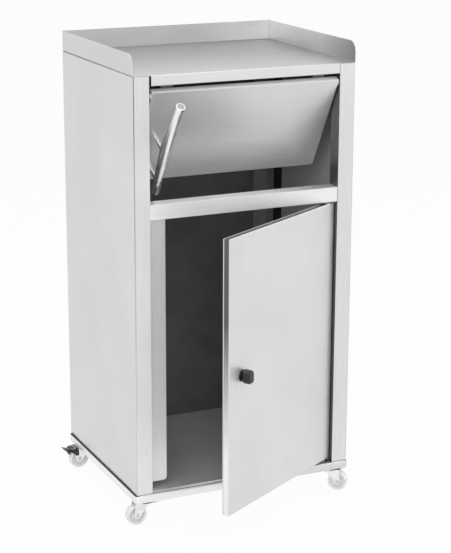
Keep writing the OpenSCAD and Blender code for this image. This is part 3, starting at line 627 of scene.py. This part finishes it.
# %% [markdown]
# ## Helpers for hand-made pieces
# A hanging piece is easiest to draw as if it were closed, straight and measured from its pivot. The
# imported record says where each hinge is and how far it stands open, so one matrix carries the drawing
# to its open place, and its inverse measures the solid that the piece stands for.

# %% Place and measure hanging pieces


def hinge_place(name):
    """Matrix from a piece drawn closed and from its pivot to its place in the open position."""
    joint = joints[name]
    opened = math.radians(-joint["range_deg"][0])
    return Matrix.Translation(joint["pos_m"]) @ Matrix.Rotation(opened, 4, Vector(joint["axis"]))


def closed_box(node, name):
    """Lowest and highest corner of a node, closed and measured from its pivot."""
    back = hinge_place(name).inverted()
    points = [back @ vertex.co for vertex in nodes[node].data.vertices]
    return (Vector([min(p[i] for p in points) for i in range(3)]),
            Vector([max(p[i] for p in points) for i in range(3)]))


print("Hinges:", sorted(joints)[:4], "and", len(joints) - 4, "more")

# %% [markdown]
# ## From a mesh to a finished piece
# Each hand-made piece goes through the same steps. Its mesh is cleaned, so that corners which coincide
# are joined and the faces look outward. Then it is put in place, shaded smooth up to a given angle and
# given its finish. Last it is told which solids it stands for and which body it moves with.

# %% Finish and hand over a mesh
SAME_CORNER = 1e-7


def mesh_of(name, build, outmost=None):
    """A mesh from a bmesh, its doubles joined and its faces turned outward.

    An open surface gives outmost, a direction: the face that lies furthest that way looks that way.
    """
    bmesh.ops.remove_doubles(build, verts=build.verts, dist=SAME_CORNER)
    bmesh.ops.recalc_face_normals(build, faces=build.faces)
    if outmost is not None:
        direction = Vector(outmost)
        face = max(build.faces, key=lambda f: f.calc_center_median().dot(direction))
        if face.normal.dot(direction) < 0:
            bmesh.ops.reverse_faces(build, faces=build.faces)
    mesh = bpy.data.meshes.new(name)
    build.to_mesh(mesh)
    build.free()
    return mesh


def finished(name, mesh, finish, place=None, sharp=35.0):
    """An object from a mesh: put in place, shaded smooth up to the angle sharp, and given its finish."""
    if place is not None:
        mesh.transform(place)
    mesh.materials.append(finish)
    for face in mesh.polygons:
        face.use_smooth = True
    mesh.set_sharp_from_angle(angle=math.radians(sharp))
    piece = bpy.data.objects.new(name, mesh)
    bpy.context.scene.collection.objects.link(piece)
    return piece


def refinish(piece, finish, picked):
    """Gives another finish to the faces whose normal picked(normal) accepts."""
    piece.data.materials.append(finish)
    for face in piece.data.polygons:
        if picked(face.normal):
            face.material_index = len(piece.data.materials) - 1


def stands_for(piece, body, slot, *replaced):
    """The piece rides on a body and replaces solids. The slot is not used."""
    if replaced:
        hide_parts(*replaced)
    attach(piece, body)


print("Corners closer than", SAME_CORNER, "m are joined")

# %% [markdown]
# ## The door skins: folded pans
# A door like this is two shallow pans, one inside out on the other. A press brake folds each edge round
# a small radius, and that radius is what catches the light as a bright line. An open box gets its edges
# bevelled in rounds, and a solidify modifier gives it the thickness of the sheet. The narrow flanges of
# the front pan have a painted reflection, dark above and light near the floor, between two bright folds.

# %% Fold a pan
FOLD = 0.002
FOLD_STEPS = 5
SHEET = 0.001
CUT_EDGE = 0.0003
FOLD_SMOOTH = 60.0


def block(low, high):
    """A bmesh box from corner low to corner high."""
    build = bmesh.new()
    bmesh.ops.create_cube(build, size=1.0)
    bmesh.ops.transform(build, verts=build.verts,
                        matrix=Matrix.Translation((low + high) / 2) @ Matrix.Diagonal((*(high - low), 1)))
    return build


def facing(build, axis, sense):
    """The faces of a box that look along an axis (sense 1) or against it (-1)."""
    return [face for face in build.faces if face.normal[axis] * sense > 0.5]


def rounded(build, geometry, radius, steps, affect="EDGES"):
    """Rounds some edges or corners of a bmesh."""
    bmesh.ops.bevel(build, geom=geometry, offset=radius, segments=steps, profile=0.5, affect=affect)


def folded(build, radius, steps):
    """Bends a surface round every edge that two of its faces share."""
    rounded(build, [edge for edge in build.edges if not edge.is_boundary], radius, steps)


def sheet_metal(piece, thickness=SHEET, edge=CUT_EDGE):
    """Gives a surface the thickness of sheet, inward, and eases its cut edges."""
    thick = piece.modifiers.new("sheet", "SOLIDIFY")
    thick.thickness = thickness
    thick.offset = -1
    round_edges(piece, edge, 2)
    piece.modifiers.new("flat_faces", "WEIGHTED_NORMAL")
    return piece


def sheet_pan(name, low, high, open_side, finish, place):
    """Pan from corner low to corner high, open towards open_side (1 for back, -1 for front)."""
    build = block(low, high)
    bmesh.ops.delete(build, geom=facing(build, Y, open_side), context="FACES_ONLY")
    folded(build, FOLD, FOLD_STEPS)
    mesh = mesh_of(name, build, (0, -open_side, 0))
    return sheet_metal(finished(name, mesh, finish, place, FOLD_SMOOTH))


print("Folds of", FOLD * 1000, "mm in a sheet of", SHEET * 1000, "mm")

# %% Fold the door
SEAM = 0.0003
INNER_RETURN = 0.0035

door_place = hinge_place("door_hinge")
door_low, door_high = closed_box("door_outer_skin", "door_hinge")
inner_low, inner_high = closed_box("door_inner_skin", "door_hinge")

outer_back = Vector((door_high.x, inner_high.y - INNER_RETURN - SEAM, door_high.z))
front_pan = sheet_pan("door_front_pan", door_low, outer_back, 1, door_steel, door_place)
door_front = door_place.to_3x3() @ Vector((0, -1, 0))
# The flanges take the painted reflection of flange_steel.
refinish(front_pan, flange_steel, lambda normal: abs(normal.dot(door_front)) < 0.1)
stands_for(front_pan, "door", "door_steel", "door_outer_skin")

inner_front = Vector((inner_low.x, inner_high.y - INNER_RETURN, inner_low.z))
back_pan = sheet_pan("door_back_pan", inner_front, inner_high, -1, door_steel, door_place)
stands_for(back_pan, "door", "inner_steel", "door_inner_skin")
print("Door of", in_mm(door_high - door_low), "mm")

# %% [markdown]
# ## The flap: the same fold, hung from its top edge
# The flap is one pan with the fold outside, pushed in at its lower edge. Its closed box gives the size,
# and the hinge of the flap gives the place.

# %% Fold the flap
flap_place = hinge_place("flap_hinge")
flap_low, flap_high = closed_box("flap_panel", "flap_hinge")
flap = sheet_pan("flap_pan", flap_low, flap_high, 1, flap_steel, flap_place)
stands_for(flap, "flap", "door_steel", "flap_panel")
print("Flap of", in_mm(flap_high - flap_low), "mm")

# %% [markdown]
# ## Side panels that stop short of the base
# A side panel is a flat sheet welded to the posts. Its outer edges are ground round, so that nobody is
# cut, and the rounding draws a light line down the corner of the cabinet. It stops a little above the
# base frame, and the gap shows as a black line. Its inside is dull, like that of every other sheet.

# %% Round the side panels
BASE_GAP = 0.0036
PANEL_ROUND = 0.0010
PANEL_STEPS = 4

for name, sense in (("left", -1), ("right", 1)):
    low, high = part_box(name + "_side_panel")
    low.z += BASE_GAP
    build = block(low, high)
    rounded(build, facing(build, X, sense)[0].edges[:], PANEL_ROUND, PANEL_STEPS)
    panel = finished(name + "_panel", mesh_of(name + "_panel", build), side_steel)
    refinish(panel, inner_side_steel, lambda normal: normal.x * sense < -0.9)
    panel.modifiers.new("flat_faces", "WEIGHTED_NORMAL")
    stands_for(panel, "cabinet", "panel_steel", name + "_side_panel")
print("Side panels stop", BASE_GAP * 1000, "mm above the base frame")

# %% [markdown]
# ## The worktop: one sheet with three upstands and a lip
# The top is one sheet, folded up at both sides and at the back. Its two corners at the back are welded
# and ground round, so here they are folds as well. The side upstands end at the front in a large round
# corner. The sheet is drawn as its under side, and solidify adds the thickness upward. Between the
# posts the front edge bends down into a lip, a strip of its own that starts where the bend starts.

# %% Draw arcs and skins
ARC_STEPS = 6


def arc(centre, radius, start, end, steps=ARC_STEPS):
    """Points on an arc from one angle to another, in degrees."""
    angles = [math.radians(start + (end - start) * i / steps) for i in range(steps + 1)]
    return [(centre[0] + radius * math.cos(a), centre[1] + radius * math.sin(a)) for a in angles]


def add_skin(build, rows):
    """Adds quads through rows that all have the same number of points."""
    grid = [[build.verts.new(point) for point in row] for row in rows]
    for lower, upper in zip(grid, grid[1:]):
        for a, b, c, d in zip(lower, lower[1:], upper[1:], upper):
            build.faces.new((a, b, c, d))


def skin(name, rows, outmost=None):
    """Mesh of quads through rows of points."""
    build = bmesh.new()
    add_skin(build, rows)
    return mesh_of(name, build, outmost)


print("An arc has", ARC_STEPS, "steps if nothing else is said")

# %% Fold the worktop
TOP_SHEET = 0.0012
TOP_FOLD = 0.003
LIP_FOLD = 0.002
CORNER_ROUND = 0.026
CORNER_STEPS = 12
LIP_HEIGHT = 0.024
LIP_RETURN = 0.012
LIP_START = 0.046
LIP_END = 0.0413

top_low, top_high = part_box("worktop")
surface = top_high.z - UPSTAND
lip_left, lip_right = top_low.x + LIP_START, top_high.x - LIP_END


def worktop_tray():
    """Under side of the sheet, cut back where the lip bends down, and the outside of its upstands."""
    build = bmesh.new()
    front, back, cut_back = top_low.y, top_high.y, top_low.y + LIP_FOLD
    plan = [(top_low.x, front), (lip_left, front), (lip_left, cut_back), (lip_right, cut_back),
            (lip_right, front), (top_high.x, front), (top_high.x, back), (top_low.x, back)]
    low = [build.verts.new((x, y, surface - TOP_SHEET)) for x, y in plan]
    high = {i: build.verts.new((*plan[i], top_high.z)) for i in (0, 5, 6, 7)}
    build.faces.new(low)
    for a, b in ((0, 7), (7, 6), (6, 5)):
        build.faces.new((low[a], low[b], high[b], high[a]))
    rounded(build, [high[0], high[5]], CORNER_ROUND, CORNER_STEPS, "VERTICES")
    folded(build, TOP_FOLD, ARC_STEPS)
    return mesh_of("worktop_tray", build, (0, 0, -1))


def front_lip():
    """The strip between the posts: down from the sheet, and a short way back."""
    front, lip_low = top_low.y, surface - LIP_HEIGHT
    profile = arc((front + LIP_FOLD, surface - LIP_FOLD), LIP_FOLD, 90, 180)
    profile += arc((front + LIP_FOLD, lip_low + LIP_FOLD), LIP_FOLD, 180, 270)
    profile += [(front + LIP_RETURN, lip_low)]
    rows = [[(x, y, z) for y, z in profile] for x in (lip_left, lip_right)]
    return skin("front_lip", rows, (0, -1, 0))


for name, mesh, finish in (("worktop_tray", worktop_tray(), worktop_steel),
                           ("front_lip", front_lip(), lip_steel)):
    part = sheet_metal(finished(name, mesh, finish, None, FOLD_SMOOTH), TOP_SHEET)
    stands_for(part, "cabinet", "worktop_steel", "worktop")
print("Worktop of", in_mm(top_high - top_low), "mm, its surface", round(surface * 1000), "mm up")

# %% [markdown]
# ## The base frame: one welded ring
# Four square tubes are mitred, welded and ground flush, so the finished frame shows no joints. It is
# drawn as one section, a rounded rectangle, carried round the frame. Outside, the corners are ground
# round; inside, they stay sharp. Each station holds an outer and an inner point, and the section is
# stretched between the two. The flat top, and at the sides the rounding beside it, lie in the shadow
# of the gap under the sheets, so they are painted nearly black, a painted shadow.

# %% Weld the base frame
TUBE_ROUND = 0.003
TUBE_STEPS = 3
CORNER_GRIND = 0.009
BASE_TUBES = ["base_%s_tube" % side for side in ("front", "right", "rear", "left")]

base_boxes = [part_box(tube) for tube in BASE_TUBES]
base_low = [min(box[0][i] for box in base_boxes) for i in range(3)]
base_high = [max(box[1][i] for box in base_boxes) for i in range(3)]
tube_width = base_boxes[0][1][1] - base_boxes[0][0][1]


def ring_stations():
    """Pairs of an outer and an inner point, anticlockwise round the frame."""
    stations = []
    for sx, sy, start in ((1, 0, 270), (1, 1, 0), (0, 1, 90), (0, 0, 180)):
        x, y = (base_low[0], base_high[0])[sx], (base_low[1], base_high[1])[sy]
        inward = Vector((1 - 2 * sx, 1 - 2 * sy, 0))
        corner = Vector((x, y, 0))
        centre = corner + inward * CORNER_GRIND
        for px, py in arc(centre, CORNER_GRIND, start, start + 90):
            stations.append((Vector((px, py, 0)), corner + inward * tube_width))
    return stations


def tube_section(width, height):
    """Rounded rectangle as pairs of the share across and the height."""
    r = TUBE_ROUND
    points = []
    for x, z, start in ((width - r, r, 270), (width - r, height - r, 0), (r, height - r, 90), (r, r, 180)):
        points += arc((x, z), r, start, start + 90, TUBE_STEPS)
    return [(x / width, z) for x, z in points]


def under_the_sheets(normal):
    """Whether a face of the frame looks up, into the shadow under the sheets, where it is painted dark."""
    return normal.z > 0.97 or normal.z > 0.6 and abs(normal.x) > 0.2


section = tube_section(tube_width, base_high[2] - base_low[2])
rows = []
for outer, inner in ring_stations():
    row = [outer.lerp(inner, across) + Vector((0, 0, base_low[2] + height)) for across, height in section]
    rows.append(row + row[:1])
rows.append(rows[0])
base_frame = finished("base_frame", skin("base_frame", rows), base_steel)
# The frame's tops under the sheets get a painted shadow.
refinish(base_frame, gap_shadow_steel, under_the_sheets)
stands_for(base_frame, "cabinet", "frame_steel", *BASE_TUBES)
print("Base frame of", len(rows) - 1, "stations")

# %% [markdown]
# ## The bent handle
# The handle is one polished tube, bent gently where the upper stay holds it. A bent tube is a circle
# carried along a path of two straight runs and an arc. The path is worked out from three points beside
# the closed flap: the two ends, and the corner that the bend rounds off. The rim of each end is eased.

# %% Bend the handle
HANDLE_RADIUS = 0.0105
HANDLE_WALL = 0.0015
HANDLE_ACROSS = 0.085
BEND_RADIUS = 0.120
BEND_STEPS = 12
TUBE_SIDES = 48
OUT_LOW, OUT_BEND, OUT_TOP = 0.051, 0.045, 0.072
OVER_EDGE, BEND_DOWN, END_UP = 0.015, 0.130, 0.005
EASE = 0.0004
BORE_DEPTH = 0.02

handle_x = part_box("left_side_panel")[0][0] - joints["flap_hinge"]["pos_m"][0] + HANDLE_ACROSS
bore = HANDLE_RADIUS - HANDLE_WALL


def handle_path():
    """Points and directions of the tube's middle line, in the plane across the flap."""
    face = flap_low.y
    low = Vector((face - OUT_LOW, flap_low.z + END_UP))
    bend = Vector((face - OUT_BEND, flap_high.z - BEND_DOWN))
    top_end = Vector((face - OUT_TOP, flap_high.z + OVER_EDGE))
    first, second = (bend - low).normalized(), (top_end - bend).normalized()
    turn = first.angle(second)
    start = bend - BEND_RADIUS * math.tan(turn / 2) * first
    centre = start + BEND_RADIUS * Vector((-first.y, first.x))
    points, directions = [low], [first]
    for i in range(BEND_STEPS + 1):
        angle = turn * i / BEND_STEPS
        direction = Vector((first.x * math.cos(angle) - first.y * math.sin(angle),
                            first.x * math.sin(angle) + first.y * math.cos(angle)))
        directions.append(direction)
        points.append(centre + BEND_RADIUS * Vector((direction.y, -direction.x)))
    return points + [top_end], directions + [second]


def tube_ring(point, direction, radius, along=0.0):
    """Circle of points square to the direction, moved along it."""
    side = Vector((0, direction.y, -direction.x))
    centre = Vector((handle_x, point.x + direction.x * along, point.y + direction.y * along))
    ring = []
    for i in range(TUBE_SIDES):
        a = 2 * math.pi * i / TUBE_SIDES
        ring.append(centre + radius * (math.cos(a) * Vector((1, 0, 0)) + math.sin(a) * side))
    return ring + ring[:1]


points, directions = handle_path()
rim = [(bore, BORE_DEPTH), (bore, 0.0), (HANDLE_RADIUS - EASE, 0.0), (HANDLE_RADIUS, EASE)]
rings = [tube_ring(points[0], directions[0], radius, along) for radius, along in rim]
rings += [tube_ring(p, d, HANDLE_RADIUS) for p, d in zip(points[1:-1], directions[1:-1])]
rings += [tube_ring(points[-1], directions[-1], radius, -along) for radius, along in reversed(rim)]
handle = finished("bent_handle", skin("bent_handle", rings + rings[:1]), polished, flap_place)
stands_for(handle, "flap", "polished_steel", "flap_handle")
print("Handle path of", len(points), "points, bent by",
      round(math.degrees(directions[0].angle(directions[-1])), 1), "degrees")

# %% [markdown]
# ## Plugs in the handle's ends
# A nylon plug with a low dome closes each end of the tube, a little inside the rim, with a groove round
# its edge. It is one outline again, turned round the tube's middle line with the rings of the tube.

# %% Plug the handle
PLUG_DEPTH = 0.008
PLUG_GROOVE = 0.0008
PLUG_FIT = 0.0001
ON_AXIS = 1e-5

plug_profile = [(0.0, 0.0002), (bore * 0.6, 0.0003), (bore * 0.88, 0.0006), (bore * 0.97, PLUG_GROOVE),
                (bore - PLUG_FIT, PLUG_GROOVE + 0.0006), (bore - PLUG_FIT, PLUG_DEPTH), (0.0, PLUG_DEPTH)]
for name, point, outward in (("lower_plug", points[0], -directions[0]),
                             ("upper_plug", points[-1], directions[-1])):
    plug_rings = [tube_ring(point, outward, max(radius, ON_AXIS), -depth) for radius, depth in plug_profile]
    plug = finished(name, skin(name, plug_rings), plug_plastic, flap_place)
    stands_for(plug, "flap", "nylon", "handle_end_plugs")
print("Two plugs of", round(2000 * bore, 1), "mm")

# %% [markdown]
# ## Wheels, turned like the mould they come from
# A caster wheel is moulded, and its mould is turned on a lathe, so an outline turned round the axle
# gives its true form: a tread with round shoulders, a rim, a thin web with a ring on it, and a long
# boss. Both sides are alike, so only half of each outline is drawn, from the middle of the wheel
# outward, as pairs of a place along the axle and a radius. The record's joint says where the axle is
# and which way it points.

# %% Set up the lathe
TURN_STEPS = 72
PROFILE_EASE = 0.0005


def lathe(name, outline):
    """Turns a closed outline of (along, radius) points round z."""
    rows = []
    for i in range(TURN_STEPS + 1):
        a = 2 * math.pi * i / TURN_STEPS
        rows.append([(radius * math.cos(a), radius * math.sin(a), along) for along, radius in outline])
    return skin(name, rows)


def mirrored(half):
    """A closed outline from its half on the positive side."""
    return half + [(-along, radius) for along, radius in reversed(half)] + half[:1]


def eased(corners):
    """Replaces each corner of an open outline, apart from its ends, by a short arc of three points."""
    points = [corners[0]]
    for before, corner, after in zip(corners, corners[1:], corners[2:]):
        corner = Vector(corner)
        into, out = Vector(before) - corner, Vector(after) - corner
        reach = min(PROFILE_EASE, into.length / 2, out.length / 2)
        a, b = corner + reach * into.normalized(), corner + reach * out.normalized()
        points += [tuple(a), tuple((a + b + 2 * corner) / 4), tuple(b)]
    return points + [corners[-1]]


print("A full turn has", TURN_STEPS, "steps")

# %% Turn the wheels
WHEEL_RADIUS = 0.025
TREAD_HALF = 0.0095
SHOULDER = 0.0025
TREAD_INNER = 0.0195
TREAD_FIT = 0.00003
RIM_HALF = 0.0085
WEB_HALF = 0.0040
RING_HALF = 0.0055
RING_OUTER, RING_INNER = 0.0132, 0.0120
RING_SLOPE = 0.0004
BOSS_HALF = 0.0111
BOSS_RADIUS = 0.007
BORE_RADIUS = 0.0031
BORE_HALF = BOSS_HALF - 0.0015
NEAR_MIDDLE = 0.001

hub_outer = TREAD_INNER - TREAD_FIT
shoulder_arc = arc((TREAD_HALF - SHOULDER, WHEEL_RADIUS - SHOULDER), SHOULDER, 90, 0)
parting_line = [(0.0, WHEEL_RADIUS), (0.0006, WHEEL_RADIUS), (0.0009, WHEEL_RADIUS - 0.0003)]
tread_half = parting_line + shoulder_arc + eased([
    (TREAD_HALF, WHEEL_RADIUS - SHOULDER - 0.0004), (TREAD_HALF, TREAD_INNER + 0.001),
    (RIM_HALF + 0.0004, TREAD_INNER + 0.0004), (RIM_HALF - 0.001, TREAD_INNER), (NEAR_MIDDLE, TREAD_INNER)])
hub_half = eased([
    (NEAR_MIDDLE, hub_outer), (RIM_HALF, hub_outer), (RIM_HALF, TREAD_INNER - 0.0022),
    (WEB_HALF, TREAD_INNER - 0.0034), (WEB_HALF, RING_OUTER + RING_SLOPE), (RING_HALF, RING_OUTER),
    (RING_HALF, RING_INNER), (WEB_HALF, RING_INNER - RING_SLOPE), (WEB_HALF, BOSS_RADIUS + 0.0012),
    (BOSS_HALF - 0.002, BOSS_RADIUS), (BOSS_HALF, BOSS_RADIUS - 0.0004), (BOSS_HALF, 0.0044),
    (BORE_HALF, BORE_RADIUS + 0.0003), (BORE_HALF, BORE_RADIUS), (NEAR_MIDDLE, BORE_RADIUS)])
for corner in CORNERS:
    roll_joint = joints[corner + "_wheel_roll"]
    axle = Vector(roll_joint["axis"]).normalized().to_track_quat("Z", "Y").to_matrix().to_4x4()
    place = Matrix.Translation(roll_joint["pos_m"]) @ axle
    for part, half, finish in (("tread", tread_half, tread_plastic), ("hub", hub_half, hub_plastic)):
        name = corner + "_" + part
        piece = finished(name, lathe(name, mirrored(half)), finish, place, 30)
        stands_for(piece, corner + "_wheel", "wheel_" + part, corner + "_wheel_" + part)
print("Turned", 2 * len(CORNERS), "wheel pieces of", len(tread_half) + len(hub_half), "outline points")

# %% [markdown]
# ## Forks, pressed from one strip
# A caster fork is a strip of steel, bent down into two legs. Each leg narrows to a round end at the
# axle, and the braked ones have an ear in front for the pin of the pedal. Only the outside is drawn,
# and solidify adds the thickness inward. Everything is measured from the top of the caster's plate, on
# the line that it swivels round, with the wheel trailing in the direction of x.

# %% Place the casters
AXLE_DOWN = 0.0385
BRAKED = ["rear_left", "rear_right"]


def caster_place(corner):
    """Matrix from the drawing of a caster to its place, and how far its wheel trails."""
    swivel = Vector(joints[corner + "_caster_swivel"]["pos_m"])
    axle = Vector(joints[corner + "_wheel_roll"]["pos_m"])
    trailing = Vector((axle.x - swivel.x, axle.y - swivel.y, 0))
    turn = math.atan2(trailing.y, trailing.x)
    place = Matrix.Translation((swivel.x, swivel.y, axle.z + AXLE_DOWN)) @ Matrix.Rotation(turn, 4, "Z")
    return place, trailing.length


print("Wheels trail by", in_mm(caster_place(corner)[1] for corner in CORNERS), "mm")

# %% Press the forks
FORK_SHEET = 0.002
FORK_EDGE = 0.0004
FORK_HALF = 0.0135
FORK_FOLD = 0.003
FORK_TOP = -0.0061
LEG_BACK = -0.007
LEG_FRONT = 0.027
LEG_END = 0.0085
LEG_STEPS = 16
STRIP_FRONT_BRAKED = 0.024
EAR_FRONT = 0.041
EAR_TOP, EAR_LOW = -0.0069, -0.0155
EAR_CORNER = 0.002


def touch_angle(point, centre, radius, side):
    """Angle on a circle, in degrees, where a line from point touches it."""
    away = Vector(point) - Vector(centre)
    return math.degrees(math.atan2(away.y, away.x) + side * math.acos(radius / away.length))


def leg_outline(trail, strip_front, braked):
    """Points x, z of a leg: down from the fold at the back, round the axle, and up at the front."""
    fold = FORK_TOP - FORK_FOLD
    ear = (EAR_FRONT, EAR_LOW) if braked else (LEG_FRONT, fold - 0.001)
    axle = (trail, -AXLE_DOWN)
    start = touch_angle((LEG_BACK, fold), axle, LEG_END, 1)
    end = touch_angle(ear, axle, LEG_END, -1)
    if end < start:
        end += 360
    outline = [(LEG_BACK, fold)] + arc(axle, LEG_END, start, end, LEG_STEPS) + [ear]
    if braked:
        outline += [(EAR_FRONT, EAR_TOP - EAR_CORNER), (EAR_FRONT - EAR_CORNER, EAR_TOP),
                    (strip_front + 0.003, EAR_TOP)]
    return outline + [(strip_front, fold)]


def fork_surface(name, trail, braked):
    """Outside of a fork: two legs and the strip that joins them over the wheel."""
    strip_front = STRIP_FRONT_BRAKED if braked else LEG_FRONT
    outline = leg_outline(trail, strip_front, braked)
    quarter = arc((FORK_HALF - FORK_FOLD, FORK_TOP - FORK_FOLD), FORK_FOLD, 0, 90)
    section = quarter + [(-y, z) for y, z in reversed(quarter)]
    build = bmesh.new()
    for side in (FORK_HALF, -FORK_HALF):
        build.faces.new([build.verts.new((x, side, z)) for x, z in outline])
    add_skin(build, [[(x, y, z) for y, z in section] for x in (LEG_BACK, strip_front)])
    return mesh_of(name, build, (0, 0, 1))


for corner in CORNERS:
    place, trail = caster_place(corner)
    surface_mesh = fork_surface(corner + "_fork", trail, corner in BRAKED)
    bare_fork = finished(corner + "_fork", surface_mesh, zinc, place, FOLD_SMOOTH)
    stands_for(sheet_metal(bare_fork, FORK_SHEET, FORK_EDGE),
               corner + "_swivel", "zinc", corner + "_caster_fork")
print("Pressed", len(CORNERS), "forks,", round(2000 * FORK_HALF, 1), "mm wide")

# %% [markdown]
# ## Crowns over the forks
# The crown is a pressed dish that holds the balls of the swivel's race. It sits over the strip of the
# fork. Its section is flat on top and rolls down to a wide rim, and the lathe turns it round.

# %% Turn the crowns
CROWN_RADIUS = 0.021
CROWN_TOP, CROWN_UNDER, CROWN_LOW = -0.0058, -0.0080, -0.0100
KING_PIN = 0.0042

crown_outline = [
    (CROWN_TOP, KING_PIN), (CROWN_TOP, 0.0165), (-0.0060, 0.0182), (-0.0066, 0.0197), (-0.0076, 0.0207),
    (-0.0088, CROWN_RADIUS), (CROWN_LOW, CROWN_RADIUS), (CROWN_LOW, 0.0192), (-0.0086, 0.0190),
    (CROWN_UNDER, 0.0180), (CROWN_UNDER, KING_PIN), (CROWN_TOP, KING_PIN)]
for corner in CORNERS:
    crown_mesh = lathe(corner + "_crown", crown_outline)
    crown = finished(corner + "_crown", crown_mesh, zinc, caster_place(corner)[0], 30)
    stands_for(crown, corner + "_swivel", "zinc")
print("Turned", len(CORNERS), "crowns,", round(2000 * CROWN_RADIUS, 1), "mm wide")

# %% [markdown]
# ## Brake pedals: a lever that straddles the fork
# A foot lever is moulded in black plastic. Two cheeks hold it on its pin outside the legs of the fork,
# a bridge in front of the ears joins them, and a plate rises from the bridge to a thin tip. Under the
# plate a claw waits over the tread. Each part is an outline seen from the side and measured from the
# pin, drawn as far across as it is wide, and all its edges are rounded, since a melt doesn't run into
# sharp ones. The bridge overlaps the plate, so the pieces of the lever hold together.

# %% Draw the parts of a pedal
PEDAL_PIN = (0.036, -0.0115)
CLAW_GAP = 0.0060
CLAW_THICK = 0.0032
PLATE_TOP = [(0.0070, 0.0030), (0.0120, 0.0018), (0.0180, 0.0018), (0.0240, 0.0034), (0.0295, 0.0062)]
PLATE_TIP = [(0.0302, 0.0052), (0.0280, 0.0026)]
PLATE_UNDER = [(0.0230, -0.0012), (0.0190, -0.0034)]
PLATE_BACK = [(0.0065, -0.0040)]
BRIDGE = [(0.0063, -0.0036), (0.0112, -0.0036), (0.0112, 0.0010), (0.0100, 0.0016), (0.0063, 0.0016)]
CHEEK = [(0.0010, 0.0046), (-0.0085, 0.0046), (-0.0105, 0.0030), (-0.0112, -0.0140), (-0.0095, -0.0158),
         (-0.0030, -0.0158), (0.0075, -0.0060), (0.0115, -0.0026), (0.0115, 0.0010)]


def from_pin(outline):
    """An outline of x, z that is measured from the pin, moved to the pin."""
    return [(PEDAL_PIN[0] + x, PEDAL_PIN[1] + z) for x, z in outline]


def slab(build, outline, low, high):
    """Adds an outline of x, z, from y = low to y = high."""
    sides = [[build.verts.new((x, y, z)) for x, z in outline] for y in (low, high)]
    build.faces.new(sides[0])
    build.faces.new(list(reversed(sides[1])))
    for i in range(len(outline)):
        j = (i + 1) % len(outline)
        build.faces.new((sides[0][i], sides[0][j], sides[1][j], sides[1][i]))


def lever_outline(trail):
    """Side view of the plate and its claw, whose end follows the tread."""
    axle = (trail, -AXLE_DOWN)
    tread = WHEEL_RADIUS + CLAW_GAP
    heel = arc(axle, tread + CLAW_THICK, 30, 28, 1)
    claw = arc(axle, tread, 27, 40, 4)
    return from_pin(PLATE_TOP + PLATE_TIP + PLATE_UNDER) + heel + claw + from_pin(PLATE_BACK)


print("The plate's tip lies", in_mm(PLATE_TIP[0]), "mm forward and up from the pin")

# %% Mould the pedals
LEVER_HALF = 0.009
CHEEK_IN, CHEEK_OUT = 0.0138, 0.0163
PIN_RADIUS = 0.002
PIN_PROUD = 0.0004
MOULD_ROUND = 0.0006


def pedal_mesh(name, trail):
    """Lever plate, bridge, two cheeks and the pin."""
    build = bmesh.new()
    slab(build, lever_outline(trail), -LEVER_HALF, LEVER_HALF)
    slab(build, from_pin(BRIDGE), -CHEEK_OUT, CHEEK_OUT)
    for low, high in ((-CHEEK_OUT, -CHEEK_IN), (CHEEK_IN, CHEEK_OUT)):
        slab(build, from_pin(CHEEK), low, high)
    slab(build, arc(PEDAL_PIN, PIN_RADIUS, 0, 345, 23), -CHEEK_OUT - PIN_PROUD, CHEEK_OUT + PIN_PROUD)
    return mesh_of(name, build)


for corner in BRAKED:
    place, trail = caster_place(corner)
    pedal = finished(corner + "_pedal", pedal_mesh(corner + "_pedal", trail), black_plastic, place, 40)
    round_edges(pedal, MOULD_ROUND, sharper_than=40.0)
    stands_for(pedal, corner + "_brake", "black_plastic", corner + "_brake_pedal")
print("Moulded", len(BRAKED), "pedals, each", round(2000 * CHEEK_OUT, 1), "mm wide")
